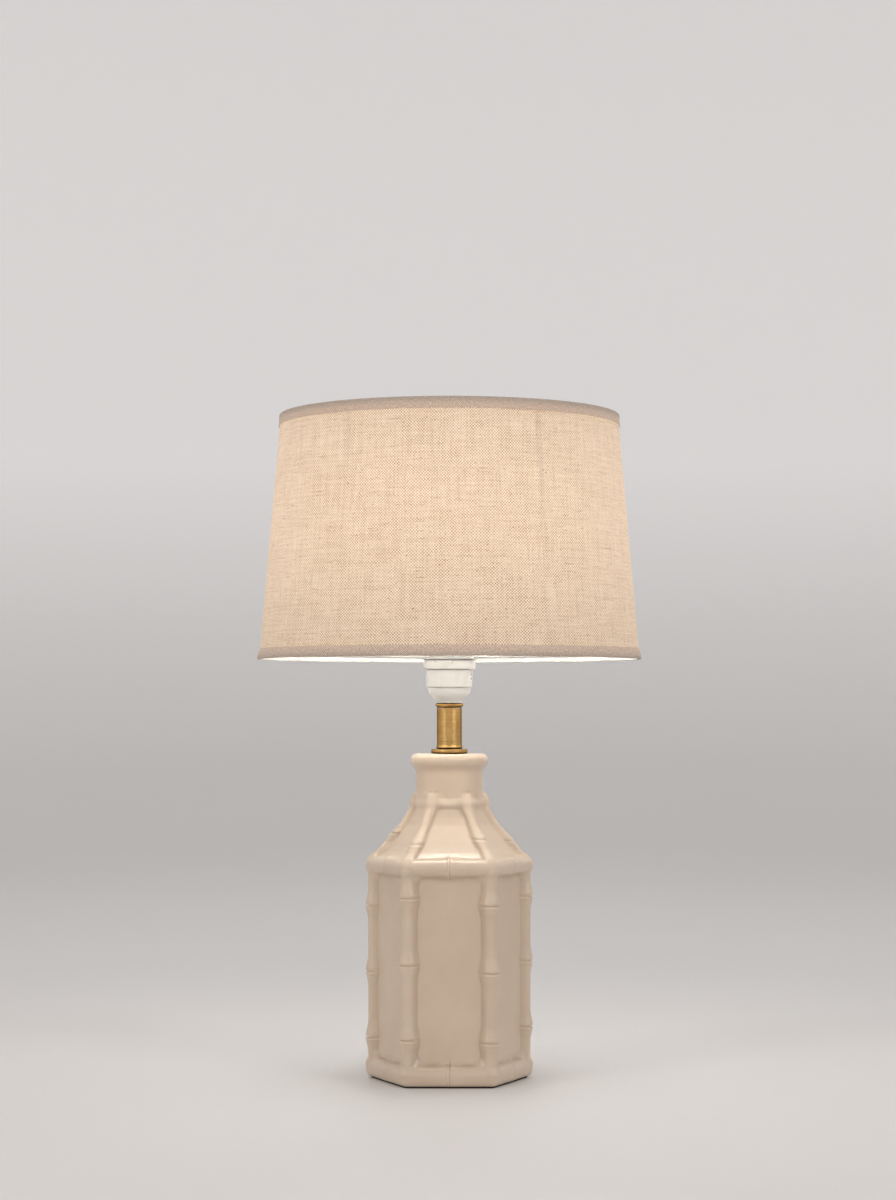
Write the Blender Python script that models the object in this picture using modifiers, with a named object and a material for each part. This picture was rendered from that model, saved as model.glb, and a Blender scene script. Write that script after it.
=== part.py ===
"""Table lamp: a hollow hexagonal ceramic base with bamboo canes in relief, a brass neck,
a white E27 lampholder with two shade rings, a tapered linen shade on a wire frame and a bulb.

Metres, +Z up. The origin is at the centre of the foot, the front faces -Y, and the lamp's axis is +Z.
"""
import math

import bmesh
import bpy
from mathutils import Matrix, Vector

# Driving dimensions, in metres
GAP = 0.0003                     # clearance kept between neighbouring pieces
LAMP_HEIGHT = 0.600
PAD_THICKNESS = 0.0012

SIDE_CORNER_X = 0.0675           # axis of the upright cane at the side corners
FRONT_CORNER_X = 0.0364          # axes of the upright canes at the front and back corners
FRONT_CORNER_Y = 0.0655
CANE_WAIST = 0.00575             # cane radius between nodes
CANE_NODE = 0.0080               # cane radius at a node
RAIL_WAIST = 0.0078              # the same for the level canes of foot and shoulder
RAIL_NODE = 0.0085
RIB_WAIST = 0.0042               # the same for the sloping canes of the shoulder
RIB_NODE = 0.0052
RIB_NODE_Z = 0.2170
FOOT_Z = PAD_THICKNESS + GAP
FOOT_RAIL_Z = FOOT_Z + 0.0092
FOOT_DEPTH = 0.0098              # how far the foot canes would reach down if they were not cut flat
PAD_OVERHANG = 0.0040            # how far the felt reaches past the upright canes' axes
SHOULDER_RAIL_Z = 0.1937
COLLAR_Z = 0.2485
COLLAR_CORNER = 0.0305           # corner radius of the small hexagon of the collar
COLLAR_CANE = 0.0052
RIM_TOP_Z = 0.2935
NECK_RADIUS = 0.0306
RIM_RADIUS = 0.0350
WALL = 0.0058                    # thickness of the ceramic
CORD_HOLE_Z = 0.0330
CORD_HOLE_RADIUS = 0.0060
CORD_BORE_RADIUS = 0.0036

TUBE_RADIUS = 0.0050             # M10 threaded tube
TUBE_BORE = 0.0036
TUBE_CLEAR_RADIUS = TUBE_RADIUS + GAP
TUBE_BOTTOM_Z = 0.2690
TUBE_TOP_Z = 0.3500
NECK_FLANGE_TOP_Z = 0.2977
NECK_TUBE_TOP_Z = 0.3350
NECK_COLLAR_TOP_Z = 0.3395

HOLDER_BOTTOM_Z = 0.3398
HOLDER_SEAM_Z = 0.3533
HOLDER_BODY_TOP_Z = 0.3697
HOLDER_TOP_Z = 0.3965
HOLDER_RADIUS = 0.0209
HOLDER_THREAD_RADIUS = 0.0196
SOCKET_RADIUS = 0.0139
RING_OUTER = 0.0235
RING_HEIGHT = 0.0084
RING_BORE = HOLDER_THREAD_RADIUS + GAP
LOWER_RING_Z = 0.3701
FITTER_Z = 0.3790
FITTER_THICKNESS = 0.0013
FITTER_OUTER = 0.0258
UPPER_RING_Z = FITTER_Z + FITTER_THICKNESS + GAP

SHADE_BOTTOM_Z = 0.3783
SHADE_TOP_Z = LAMP_HEIGHT
SHADE_LOW_RADIUS = 0.1715        # outside of the linen at the top of the lower trim
SHADE_LOW_RADIUS_Z = 0.3885
SHADE_HIGH_RADIUS = 0.1535       # outside of the linen at the foot of the upper trim
SHADE_HIGH_RADIUS_Z = 0.5900
CLOTH_THICKNESS = 0.0008
LINER_THICKNESS = 0.0008
TAPE_THICKNESS = 0.0007
TAPE_WIDTH = 0.0102
LOW_WIRE_RADIUS = 0.0018
HIGH_WIRE_RADIUS = 0.0013
SPOKE_RADIUS = 0.0015

BULB_TIP_Z = 0.3716
BULB_CAP_Z = BULB_TIP_Z + 0.0042
BULB_CAP_TOP_Z = BULB_TIP_Z + 0.0260
BULB_CAP_RADIUS = 0.0131
BULB_GLASS_RADIUS = 0.0325
BULB_GLASS_Z = 0.4600            # height of the glass ball's centre

ROUND = 28                       # sides of a small round piece
SHADE_SIDES = 48                 # sides of the shade's large rings

LAMP = bpy.data.collections.new("table_lamp")
CUTTERS = bpy.data.collections.new("cutters")


def clear_scene():
    for obj in list(bpy.data.objects):
        bpy.data.objects.remove(obj, do_unlink=True)


def material(name, colour, roughness, metallic=0.0):
    made = bpy.data.materials.new(name)
    made.use_nodes = True
    shader = made.node_tree.nodes["Principled BSDF"]
    shader.inputs["Base Color"].default_value = (*colour, 1.0)
    shader.inputs["Roughness"].default_value = roughness
    shader.inputs["Metallic"].default_value = metallic
    return made


def add(name, mesh, finish, collection=None):
    """Link a mesh into a collection as a named object."""
    obj = bpy.data.objects.new(name, mesh)
    (collection or LAMP).objects.link(obj)
    if finish is not None:
        obj.data.materials.clear()
        obj.data.materials.append(finish)
    return obj


def bake(obj):
    """Replace an object by its evaluated mesh, with round parts shaded smooth."""
    bpy.context.view_layer.update()
    evaluated = obj.evaluated_get(bpy.context.evaluated_depsgraph_get())
    mesh = bpy.data.meshes.new_from_object(evaluated)
    finish = obj.data.materials[0] if len(obj.data.materials) else None
    obj.modifiers.clear()
    obj.data = mesh
    if finish is not None:
        mesh.materials.clear()
        mesh.materials.append(finish)
    mesh.shade_smooth()
    mesh.set_sharp_from_angle(angle=math.radians(35))
    return obj


def turned(name, profile, finish, sides=ROUND, closed=True):
    """Turn a profile of (radius, height) points about Z; it runs down the outer side."""
    mesh = bpy.data.meshes.new(name)
    points = [(radius, 0.0, height) for radius, height in profile]
    edges = [(i, i + 1) for i in range(len(points) - 1)]
    if closed:
        edges.append((len(points) - 1, 0))
    mesh.from_pydata(points, edges, [])
    obj = add(name, mesh, finish)
    screw = obj.modifiers.new("turn", "SCREW")
    screw.steps = sides
    screw.render_steps = sides
    screw.use_merge_vertices = True
    screw.merge_threshold = 0.00001
    return bake(obj)


def ring(name, inner, outer, low, high, finish, sides=ROUND):
    """Flat ring or tube between two radii and two heights."""
    return turned(name, [(outer, high), (outer, low), (inner, low), (inner, high)], finish, sides)


def solid_from_rings(name, rings, finish, collection=None):
    """Loft closed rings with the same number of points, lowest ring first, into a capped solid."""
    work = bmesh.new()
    levels = [[work.verts.new(point) for point in level] for level in rings]
    count = len(levels[0])
    for lower, upper in zip(levels, levels[1:]):
        for i in range(count):
            j = (i + 1) % count
            work.faces.new((lower[i], lower[j], upper[j], upper[i]))
    work.faces.new(list(reversed(levels[0])))
    work.faces.new(levels[-1])
    mesh = bpy.data.meshes.new(name)
    work.to_mesh(mesh)
    work.free()
    return add(name, mesh, finish, collection)


def cylinder(name, radius, low, high, finish=None, sides=16, collection=None):
    """Round bar between two points."""
    start = Vector(low)
    end = Vector(high)
    work = bmesh.new()
    bmesh.ops.create_cone(work, cap_ends=True, segments=sides, radius1=radius, radius2=radius,
                          depth=(end - start).length)
    turn = Vector((0, 0, 1)).rotation_difference(end - start).to_matrix().to_4x4()
    bmesh.ops.transform(work, matrix=Matrix.Translation((start + end) / 2) @ turn, verts=work.verts)
    mesh = bpy.data.meshes.new(name)
    work.to_mesh(mesh)
    work.free()
    mesh.shade_smooth()
    mesh.set_sharp_from_angle(angle=math.radians(35))
    return add(name, mesh, finish, collection)


def block(name, low, high, finish=None, collection=None):
    """Box between its lowest and highest corners."""
    work = bmesh.new()
    bmesh.ops.create_cube(work, size=1.0)
    size = [b - a for a, b in zip(low, high)]
    centre = [(a + b) / 2 for a, b in zip(low, high)]
    bmesh.ops.scale(work, vec=size, verts=work.verts)
    bmesh.ops.translate(work, vec=centre, verts=work.verts)
    mesh = bpy.data.meshes.new(name)
    work.to_mesh(mesh)
    work.free()
    return add(name, mesh, finish, collection)


def cut(target, cutter):
    """Cut one object with another from the collection of cutters."""
    modifier = target.modifiers.new(cutter.name, "BOOLEAN")
    modifier.operation = "DIFFERENCE"
    modifier.object = cutter
    cutter.hide_render = True
    cutter.display_type = "WIRE"


def remove_cutters():
    for obj in list(CUTTERS.objects):
        bpy.data.objects.remove(obj, do_unlink=True)


# ---------------------------------------------------------------- ceramic base

def body_corners():
    """Corners of the big hexagon, counter-clockwise from +X, through the upright canes' axes."""
    x, y = FRONT_CORNER_X, FRONT_CORNER_Y
    return [Vector((SIDE_CORNER_X, 0)), Vector((x, y)), Vector((-x, y)),
            Vector((-SIDE_CORNER_X, 0)), Vector((-x, -y)), Vector((x, -y))]


def collar_corners():
    """Corners of the small regular hexagon of the collar."""
    angles = [math.radians(60 * i) for i in range(6)]
    return [Vector((COLLAR_CORNER * math.cos(a), COLLAR_CORNER * math.sin(a))) for a in angles]


def side_reach(corners, direction, swell=0.0):
    """Distance from the axis to the hexagon along a direction, its outline moved out by a swell.

    The moved outline has straight sides and round corners.
    """
    for start, end in zip(corners, corners[1:] + corners[:1]):
        side = end - start
        normal = Vector((side.y, -side.x)).normalized()
        facing = normal.dot(direction)
        if facing > 0.05:
            reach = (normal.dot(start) + swell) / facing
            along = (direction * reach - start).dot(side) / side.length_squared
            if -1e-6 <= along <= 1 + 1e-6:
                return reach
    return max(rod_reach(corner, swell, direction) for corner in corners)


def rod_reach(centre, radius, direction):
    """Distance from the axis to the far side of a round rod's section, or 0 where it is missed."""
    along = centre.dot(direction)
    miss = centre.length_squared - along * along
    if radius <= 0 or miss >= radius * radius or along <= 0:
        return 0.0
    return along + math.sqrt(radius * radius - miss)


def cane_radius(place, nodes, waist, swollen):
    """Radius of a cane at a place along it: it swells around each node."""
    reach = 0.014
    swell = 0.0
    for node in nodes:
        distance = abs(place - node) / reach
        if distance < 1:
            swell = max(swell, (1 - distance * distance) ** 2)
    return waist + (swollen - waist) * swell


def half_chord(height, centre, radius, depth=None):
    """Half width of a level cane at a height: round above, and fuller below where a depth is given."""
    if depth is not None and height < centre:
        return radius * (1 - ((centre - height) / depth) ** 3) ** (1 / 3)
    return math.sqrt(max(radius * radius - (height - centre) ** 2, 0.0))


def between(height, table):
    """Interpolate in a table of (height, value, value) rows."""
    for lower, upper in zip(table, table[1:]):
        if height <= upper[0]:
            part = (height - lower[0]) / (upper[0] - lower[0])
            return [a + (b - a) * part for a, b in zip(lower[1:], upper[1:])]
    return list(table[-1][1:])


# Height, corner radius and roundness of the bare body, from the foot to the rim
BODY = [
    (FOOT_Z, SIDE_CORNER_X, 0.0), (0.1965, SIDE_CORNER_X, 0.0), (0.2015, 0.0655, 0.0),
    (0.2060, 0.0608, 0.0), (0.2110, 0.0560, 0.0), (0.2165, 0.0514, 0.0), (0.2228, 0.0461, 0.0),
    (0.2300, 0.0398, 0.04), (0.2370, 0.0354, 0.15), (0.2440, 0.0322, 0.50), (0.2540, NECK_RADIUS, 1.0),
    (0.2770, NECK_RADIUS, 1.0), (0.2805, 0.0318, 1.0), (0.2835, 0.0338, 1.0), (0.2865, RIM_RADIUS, 1.0),
    (0.2895, RIM_RADIUS, 1.0), (0.2920, 0.0340, 1.0), (RIM_TOP_Z, 0.0315, 1.0),
]
# The same for the hollow inside, from below the foot to the underside of the neck plate
HOLLOW = [
    (-0.0100, SIDE_CORNER_X, 0.0), (0.1900, SIDE_CORNER_X, 0.0), (0.2000, 0.0640, 0.0),
    (0.2160, 0.0500, 0.0), (0.2300, 0.0390, 0.05), (0.2400, 0.0340, 0.50), (0.2560, 0.0306, 1.0),
    (0.2850, 0.0306, 1.0),
]
UPRIGHT_NODES = [                # heights of the three nodes on each upright cane, from +X round
    (0.0465, 0.1060, 0.1645), (0.0390, 0.1030, 0.1640), (0.0430, 0.1085, 0.1680),
    (0.0365, 0.0965, 0.1555), (0.0420, 0.1080, 0.1672), (0.0393, 0.1008, 0.1601),
]
SIDE_STEPS = (0.0, 0.05, 0.095, 0.135, 0.37, 0.63, 0.865, 0.905, 0.95)


def body_heights():
    """Heights of the body's sections: close together on the level canes, further apart between."""
    heights = [FOOT_Z, FOOT_Z + 0.0012, FOOT_Z + 0.0048, FOOT_RAIL_Z, FOOT_Z + 0.0137, FOOT_Z + 0.0169]
    steps = 15
    low = FOOT_RAIL_Z + RAIL_WAIST + 0.0040
    high = SHOULDER_RAIL_Z - RAIL_WAIST - 0.0040
    heights += [low + (high - low) * i / steps for i in range(steps + 1)]
    heights += [SHOULDER_RAIL_Z + RAIL_WAIST * shift for shift in (-0.97, -0.70, 0.0, 0.60, 0.93)]
    heights += [0.2035, 0.2095, 0.2155, 0.2215, 0.2290, 0.2385]
    heights += [COLLAR_Z + COLLAR_CANE * shift for shift in (-0.97, -0.50, 0.50, 0.95)]
    heights += [COLLAR_Z + 0.0075] + [row[0] for row in BODY if row[0] > 0.26]
    return heights


def body_section(height):
    """Outline of the relief at a height: the farthest of body, upright, level and sloping canes."""
    big = body_corners()
    small = collar_corners()
    corner_radius, roundness = between(height, BODY)
    scaled = [corner * (corner_radius / SIDE_CORNER_X) for corner in big]
    middle = FRONT_CORNER_X
    points = []
    for index, start in enumerate(big):
        end = big[(index + 1) % 6]
        for step in SIDE_STEPS:
            spot = start.lerp(end, step)
            direction = spot.normalized()
            flat = side_reach(scaled, direction)
            reach = flat * (1 - roundness) + corner_radius * roundness
            along = abs(step * 2 - 1) * middle
            rail = cane_radius(along, [0.0], RAIL_WAIST, RAIL_NODE)
            for level, depth in ((FOOT_RAIL_Z, FOOT_DEPTH), (SHOULDER_RAIL_Z, None)):
                swell = half_chord(height, level, rail, depth) if abs(height - level) < 0.010 else 0.0
                if swell > 0:
                    reach = max(reach, side_reach(big, direction, swell))
            collar = half_chord(height, COLLAR_Z, COLLAR_CANE)
            if collar > 0:
                reach = max(reach, side_reach(small, direction, collar * 0.8))
            for i in range(6):
                if FOOT_RAIL_Z <= height <= SHOULDER_RAIL_Z:
                    radius = cane_radius(height, UPRIGHT_NODES[i], CANE_WAIST, CANE_NODE)
                    reach = max(reach, rod_reach(big[i], radius, direction))
                if SHOULDER_RAIL_Z < height < COLLAR_Z + COLLAR_CANE:
                    axis = big[i] * ((corner_radius - 0.0010) / SIDE_CORNER_X)
                    radius = cane_radius(height, [RIB_NODE_Z], RIB_WAIST, RIB_NODE)
                    reach = max(reach, rod_reach(axis, radius, direction))
            points.append((direction.x * reach, direction.y * reach, height))
    return points


def hollow_section(height, corner_radius, roundness):
    """Outline of the inside at a height."""
    scaled = [corner * (corner_radius / SIDE_CORNER_X) for corner in body_corners()]
    points = []
    for index, start in enumerate(scaled):
        end = scaled[(index + 1) % 6]
        for step in (0.0, 0.25, 0.5, 0.75):
            direction = start.lerp(end, step).normalized()
            flat = side_reach(scaled, direction)
            reach = flat * (1 - roundness) + corner_radius * roundness - WALL
            points.append((direction.x * reach, direction.y * reach, height))
    return points


def ceramic_body(finish):
    body = solid_from_rings("ceramic_body", [body_section(height) for height in body_heights()], finish)
    hollow = solid_from_rings("hollow", [hollow_section(*level) for level in HOLLOW], None, CUTTERS)
    cut(body, hollow)
    tube_hole = cylinder("tube_hole", TUBE_CLEAR_RADIUS, (0, 0, 0.25), (0, 0, 0.35), None, 24, CUTTERS)
    cut(body, tube_hole)
    cord_hole = cylinder("cord_hole", CORD_HOLE_RADIUS, (0, 0.050, CORD_HOLE_Z), (0, 0.090, CORD_HOLE_Z),
                         None, 24, CUTTERS)
    cut(body, cord_hole)
    bake(body)
    remove_cutters()


def base_pad(finish):
    """Felt sheet on the foot, a little inside its edge, with round corners."""
    scale = (SIDE_CORNER_X + PAD_OVERHANG) / SIDE_CORNER_X
    corners = [corner * scale for corner in body_corners()]
    low = [(c.x, c.y, 0.0) for c in corners]
    high = [(c.x, c.y, PAD_THICKNESS) for c in corners]
    pad = solid_from_rings("base_pad", [low, high], finish)
    bevel = pad.modifiers.new("round corners", "BEVEL")
    bevel.width = 0.004
    bevel.segments = 3
    bevel.limit_method = "WEIGHT"
    weights = pad.data.attributes.new("bevel_weight_edge", "FLOAT", "EDGE")
    for edge in pad.data.edges:
        a, b = (pad.data.vertices[i].co for i in edge.vertices)
        weights.data[edge.index].value = 1.0 if abs(a.z - b.z) > PAD_THICKNESS / 2 else 0.0
    bake(pad)


def cord_bushing(finish):
    """Flanged grommet in the cord hole, with the cord's bore through it."""
    body_radius = CORD_HOLE_RADIUS - GAP
    flange = 0.0078
    outside = FRONT_CORNER_Y + GAP
    inside = outside - GAP - WALL - 0.0012
    profile = [(flange - 0.0006, 0.0018), (flange, 0.0012), (flange, 0.0), (body_radius, 0.0),
               (body_radius, inside - outside), (CORD_BORE_RADIUS, inside - outside),
               (CORD_BORE_RADIUS, 0.0018)]
    bushing = turned("cord_bushing", profile, finish, 20)
    bushing.rotation_euler = (-math.pi / 2, 0, 0)
    bushing.location = (0, outside, CORD_HOLE_Z)


# ---------------------------------------------------------------- neck

def tube_fixings(steel, rubber):
    """Threaded tube with the washers and the nut under the neck plate."""
    ring("threaded_tube", TUBE_BORE, TUBE_RADIUS, TUBE_BOTTOM_Z, TUBE_TOP_Z, steel, 20)
    plate_z = HOLLOW[-1][0]
    rubber_top = plate_z - GAP
    rubber_low = rubber_top - 0.0020
    steel_low = rubber_low - GAP - 0.0015
    lock_low = steel_low - GAP - 0.0012
    nut_high = lock_low - GAP
    nut_low = nut_high - 0.0040
    ring("rubber_washer", TUBE_CLEAR_RADIUS, 0.0130, rubber_low, rubber_top, rubber, 24)
    ring("steel_washer", TUBE_CLEAR_RADIUS, 0.0130, steel_low, rubber_low - GAP, steel, 24)
    ring("lock_washer", TUBE_CLEAR_RADIUS, 0.0080, lock_low, steel_low - GAP, steel, 20)
    across_corners = 0.0081
    angles = [math.radians(60 * i) for i in range(6)]
    outline = [(across_corners * math.cos(a), across_corners * math.sin(a)) for a in angles]
    nut = solid_from_rings("tube_nut", [[(x, y, nut_low) for x, y in outline],
                                        [(x, y, nut_high) for x, y in outline]], steel)
    hole = cylinder("nut_hole", TUBE_CLEAR_RADIUS, (0, 0, nut_low - 0.01), (0, 0, nut_high + 0.01),
                    None, 20, CUTTERS)
    cut(nut, hole)
    bake(nut)
    remove_cutters()


def brass_neck(brass):
    """Foot disc, spacer tube with a bead at its foot, and the pointed bead on its top."""
    bore = TUBE_CLEAR_RADIUS
    low = RIM_TOP_Z + GAP
    high = NECK_FLANGE_TOP_Z
    turned("neck_flange", [(0.0156, high), (0.0164, high - 0.0009), (0.0164, low + 0.0009), (0.0156, low),
                           (bore, low), (bore, high)], brass)
    low = NECK_FLANGE_TOP_Z + GAP
    high = NECK_TUBE_TOP_Z
    turned("neck_tube", [(0.0113, high), (0.0113, low + 0.0026), (0.0118, low + 0.0018),
                         (0.0118, low + 0.0006), (0.0112, low), (bore, low), (bore, high)], brass)
    low = NECK_TUBE_TOP_Z + GAP
    high = NECK_COLLAR_TOP_Z
    turned("neck_collar", [(0.0117, high), (0.0128, high - 0.0014), (0.0128, high - 0.0022),
                           (0.0117, low + 0.0008), (0.0110, low), (bore, low), (bore, high)], brass)


# ---------------------------------------------------------------- lampholder

def holder_cap(plastic):
    """Lower shell: a small lip on the brass, a groove and a dome up to the seam."""
    low = HOLDER_BOTTOM_Z
    high = HOLDER_SEAM_Z - 0.0001
    cap = turned("holder_cap", [
        (0.0196, high), (0.0191, 0.3500), (0.0185, 0.3467), (0.0172, 0.3442), (0.0145, 0.3424),
        (0.0113, 0.3415), (0.0113, 0.3412), (0.0119, 0.3409), (0.0119, low),
        (TUBE_CLEAR_RADIUS, low), (TUBE_CLEAR_RADIUS, 0.3472), (0.0162, 0.3472), (0.0176, 0.3500),
        (0.0178, high)], plastic, 28)
    hole = cylinder("lock_screw_hole", 0.0018, (0, 0.003, 0.3444), (0, 0.030, 0.3444), None, 12, CUTTERS)
    cut(cap, hole)
    bake(cap)
    remove_cutters()


def holder_skirt(plastic):
    """Upper shell: smooth drum below, outer thread for the rings above, bulb thread inside."""
    low = HOLDER_SEAM_Z + 0.0003
    top = HOLDER_TOP_Z
    skirt = turned("holder_skirt", [
        (HOLDER_THREAD_RADIUS - 0.0006, top), (HOLDER_THREAD_RADIUS, top - 0.0006),
        (HOLDER_THREAD_RADIUS, HOLDER_BODY_TOP_Z), (HOLDER_RADIUS - 0.0004, HOLDER_BODY_TOP_Z),
        (HOLDER_RADIUS, HOLDER_BODY_TOP_Z - 0.0004), (HOLDER_RADIUS, low + 0.0004),
        (HOLDER_RADIUS - 0.0004, low), (0.0181, low), (0.0181, top - 0.0022),
        (SOCKET_RADIUS + 0.0015, top - 0.0022), (SOCKET_RADIUS + 0.0015, 0.3790),
        (SOCKET_RADIUS, 0.3790), (SOCKET_RADIUS, top)], plastic, 28)
    angle = math.radians(-17)    # two small moulded slots on the right-hand side
    for row, height in enumerate((0.3618, 0.3650)):
        centre = Vector((HOLDER_RADIUS * math.cos(angle), HOLDER_RADIUS * math.sin(angle), height))
        slot = block(f"slot_{row}", (-0.0006, -0.0014, -0.0007), (0.0012, 0.0014, 0.0007), None, CUTTERS)
        slot.matrix_world = Matrix.Translation(centre) @ Matrix.Rotation(angle, 4, "Z")
        cut(skirt, slot)
    bake(skirt)
    remove_cutters()


def shade_ring(name, low, plastic, notch_low):
    """Threaded ring with a row of small finger notches along one edge."""
    high = low + RING_HEIGHT
    profile = [(RING_OUTER - 0.0005, high), (RING_OUTER, high - 0.0005), (RING_OUTER, low + 0.0005),
               (RING_OUTER - 0.0005, low), (RING_BORE, low), (RING_BORE, high)]
    body = turned(name, profile, plastic, ROUND)
    count = 9
    for index in range(count):
        angle = math.radians(360 * (index + 0.5) / count)
        notch = block(f"notch_{index}", (-0.0007, -0.0011, 0.0), (0.0020, 0.0011, 0.0022), None, CUTTERS)
        centre = Vector((RING_OUTER * math.cos(angle), RING_OUTER * math.sin(angle), notch_low))
        notch.matrix_world = Matrix.Translation(centre) @ Matrix.Rotation(angle, 4, "Z")
        cut(body, notch)
    bake(body)
    remove_cutters()


def terminal_spots():
    return [Vector((0.0095, 0, 0)), Vector((-0.0095, 0, 0))]


def holder_core(ceramic, brass, steel):
    """Insert with the two contacts, its two terminal screws and the screw that locks the tube."""
    low = 0.3545
    high = 0.3682
    insert = turned("holder_insert", [(0.0, high), (0.0170, high), (0.0175, high - 0.0005),
                                      (0.0175, low + 0.0005), (0.0170, low), (0.0, low)],
                    ceramic, 24, closed=False)
    for index, spot in enumerate(terminal_spots()):
        hole = cylinder(f"terminal_hole_{index}", 0.0019, (spot.x, spot.y, low - 0.002),
                        (spot.x, spot.y, low + 0.0085), None, 12, CUTTERS)
        cut(insert, hole)
    bake(insert)
    remove_cutters()
    for index, spot in enumerate(terminal_spots(), 1):
        head_high = low - GAP
        screw = turned(f"terminal_screw_{index}", [
            (0.0, low + 0.0078), (0.0015, low + 0.0078), (0.0015, head_high), (0.0028, head_high),
            (0.0028, head_high - 0.0018), (0.0022, head_high - 0.0023), (0.0, head_high - 0.0023)],
            brass, 12, closed=False)
        screw.location = spot
    cylinder("holder_lock_screw", 0.0015, (0, TUBE_RADIUS + GAP, 0.3444), (0, 0.0140, 0.3444), steel, 12)
    floor = high + GAP
    contact_strip("centre_contact", [(-0.0070, floor), (-0.0020, BULB_TIP_Z - 0.0009),
                                     (0.0020, BULB_TIP_Z - 0.0009), (0.0070, floor)], brass)
    contact_strip("side_contact", [(0.0095, floor), (0.0141, floor), (0.0141, 0.3778)], brass)


def contact_strip(name, path, finish):
    """Bent spring strip: a path in the XZ plane, thickened upwards or inwards and extruded in Y."""
    thickness = 0.0005
    half_width = 0.0022
    inner = []
    for index, (x, z) in enumerate(path):
        before = Vector(path[max(index - 1, 0)])
        after = Vector(path[min(index + 1, len(path) - 1)])
        here = Vector((x, z))
        first = (here - before).normalized() if index > 0 else (after - here).normalized()
        second = (after - here).normalized() if index < len(path) - 1 else first
        normal = Vector((-(first + second).y, (first + second).x)).normalized()
        mitre = normal.dot(Vector((-second.y, second.x)))
        inner.append(here + normal * thickness / mitre)
    outline = [Vector(p) for p in path] + list(reversed(inner))
    rings = [[(p.x, y, p.y) for p in outline] for y in (half_width, -half_width)]
    solid_from_rings(name, rings, finish)


# ---------------------------------------------------------------- shade

def cloth_radius(height):
    """Outside of the linen at a height: a straight taper."""
    slope = (SHADE_HIGH_RADIUS - SHADE_LOW_RADIUS) / (SHADE_HIGH_RADIUS_Z - SHADE_LOW_RADIUS_Z)
    return SHADE_LOW_RADIUS + slope * (height - SHADE_LOW_RADIUS_Z)


def cone_shell(name, inset, thickness, low, high, finish):
    """Tapered shell whose outside lies a given depth under the linen's outside."""
    outer_high = cloth_radius(high) - inset
    outer_low = cloth_radius(low) - inset
    turned(name, [(outer_high, high), (outer_low, low), (outer_low - thickness, low),
                  (outer_high - thickness, high)], finish, SHADE_SIDES)


def wire_ring(name, radius, height, wire_radius, finish):
    """Round hoop bent from wire."""
    profile = [(radius + wire_radius * math.cos(math.radians(-72 * i)),
                height + wire_radius * math.sin(math.radians(-72 * i))) for i in range(5)]
    return turned(name, profile, finish, SHADE_SIDES)


def low_hoop_radius():
    return cloth_radius(SHADE_BOTTOM_Z) - 0.0006


def shade_frame(white):
    """Fitter ring, its three spokes and the two hoops."""
    ring("fitter_ring", RING_BORE + GAP, FITTER_OUTER, FITTER_Z, FITTER_Z + FITTER_THICKNESS, white, 28)
    hoop_z = SHADE_BOTTOM_Z + TAPE_THICKNESS + GAP + LOW_WIRE_RADIUS
    wire_ring("bottom_hoop", low_hoop_radius(), hoop_z, LOW_WIRE_RADIUS, white)
    top_z = SHADE_TOP_Z - TAPE_THICKNESS - GAP - HIGH_WIRE_RADIUS
    wire_ring("top_hoop", cloth_radius(top_z) - 0.0010, top_z, HIGH_WIRE_RADIUS, white)
    inner = FITTER_OUTER + GAP
    outer = low_hoop_radius() - LOW_WIRE_RADIUS - GAP - 0.0003
    for index in range(3):
        angle = math.radians(90 + 120 * index)
        direction = Vector((math.cos(angle), math.sin(angle), 0))
        start = direction * inner + Vector((0, 0, FITTER_Z + FITTER_THICKNESS + 0.0006))
        end = direction * outer + Vector((0, 0, hoop_z + 0.0004))
        cylinder(f"fitter_spoke_{index + 1}", SPOKE_RADIUS, start, end, white, 10)


def low_trim(tape):
    """Tape folded around the bottom hoop, slit on its inner leg where the three spokes pass."""
    low = SHADE_BOTTOM_Z
    high = low + TAPE_WIDTH
    hoop_outside = low_hoop_radius() + LOW_WIRE_RADIUS + GAP
    hoop_inside = low_hoop_radius() - LOW_WIRE_RADIUS - GAP
    outer_top = cloth_radius(high) + GAP
    inner_top = cloth_radius(high) - CLOTH_THICKNESS - LINER_THICKNESS - 2 * GAP
    thick = TAPE_THICKNESS
    trim = turned("trim_bottom", [
        (outer_top + thick, high), (hoop_outside + thick, low + 0.0030), (hoop_outside + thick, low + 0.0008),
        (hoop_outside, low), (hoop_inside, low), (hoop_inside - thick, low + 0.0008),
        (inner_top - thick, high), (inner_top, high), (hoop_inside, low + thick),
        (hoop_outside, low + thick), (hoop_outside, low + 0.0030), (outer_top, high)],
        tape, SHADE_SIDES)
    half_slit = SPOKE_RADIUS + 0.0008
    for index in range(3):
        slit = block(f"slit_{index}", (0.150, -half_slit, low - 0.01),
                     (low_hoop_radius() - 0.0004, half_slit, low + 0.0075), None, CUTTERS)
        slit.rotation_euler = (0, 0, math.radians(90 + 120 * index))
        cut(trim, slit)
    bake(trim)
    remove_cutters()


def high_trim(tape):
    """Tape folded over the top hoop."""
    high = SHADE_TOP_Z
    low = high - TAPE_WIDTH
    thick = TAPE_THICKNESS
    outer_low = cloth_radius(low) + GAP
    inner_low = cloth_radius(low) - CLOTH_THICKNESS - LINER_THICKNESS - 2 * GAP
    hoop = cloth_radius(high - 0.0025) - 0.0010
    outside = hoop + HIGH_WIRE_RADIUS + GAP
    inside = hoop - HIGH_WIRE_RADIUS - GAP
    turned("trim_top", [
        (outside + thick - 0.0006, high), (outside + thick, high - 0.0008), (outer_low + thick, low),
        (outer_low, low), (outside, high - thick), (inside, high - thick), (inner_low, low),
        (inner_low - thick, low), (inside - thick, high - 0.0008), (inside - thick + 0.0006, high)],
        tape, SHADE_SIDES)


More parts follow.
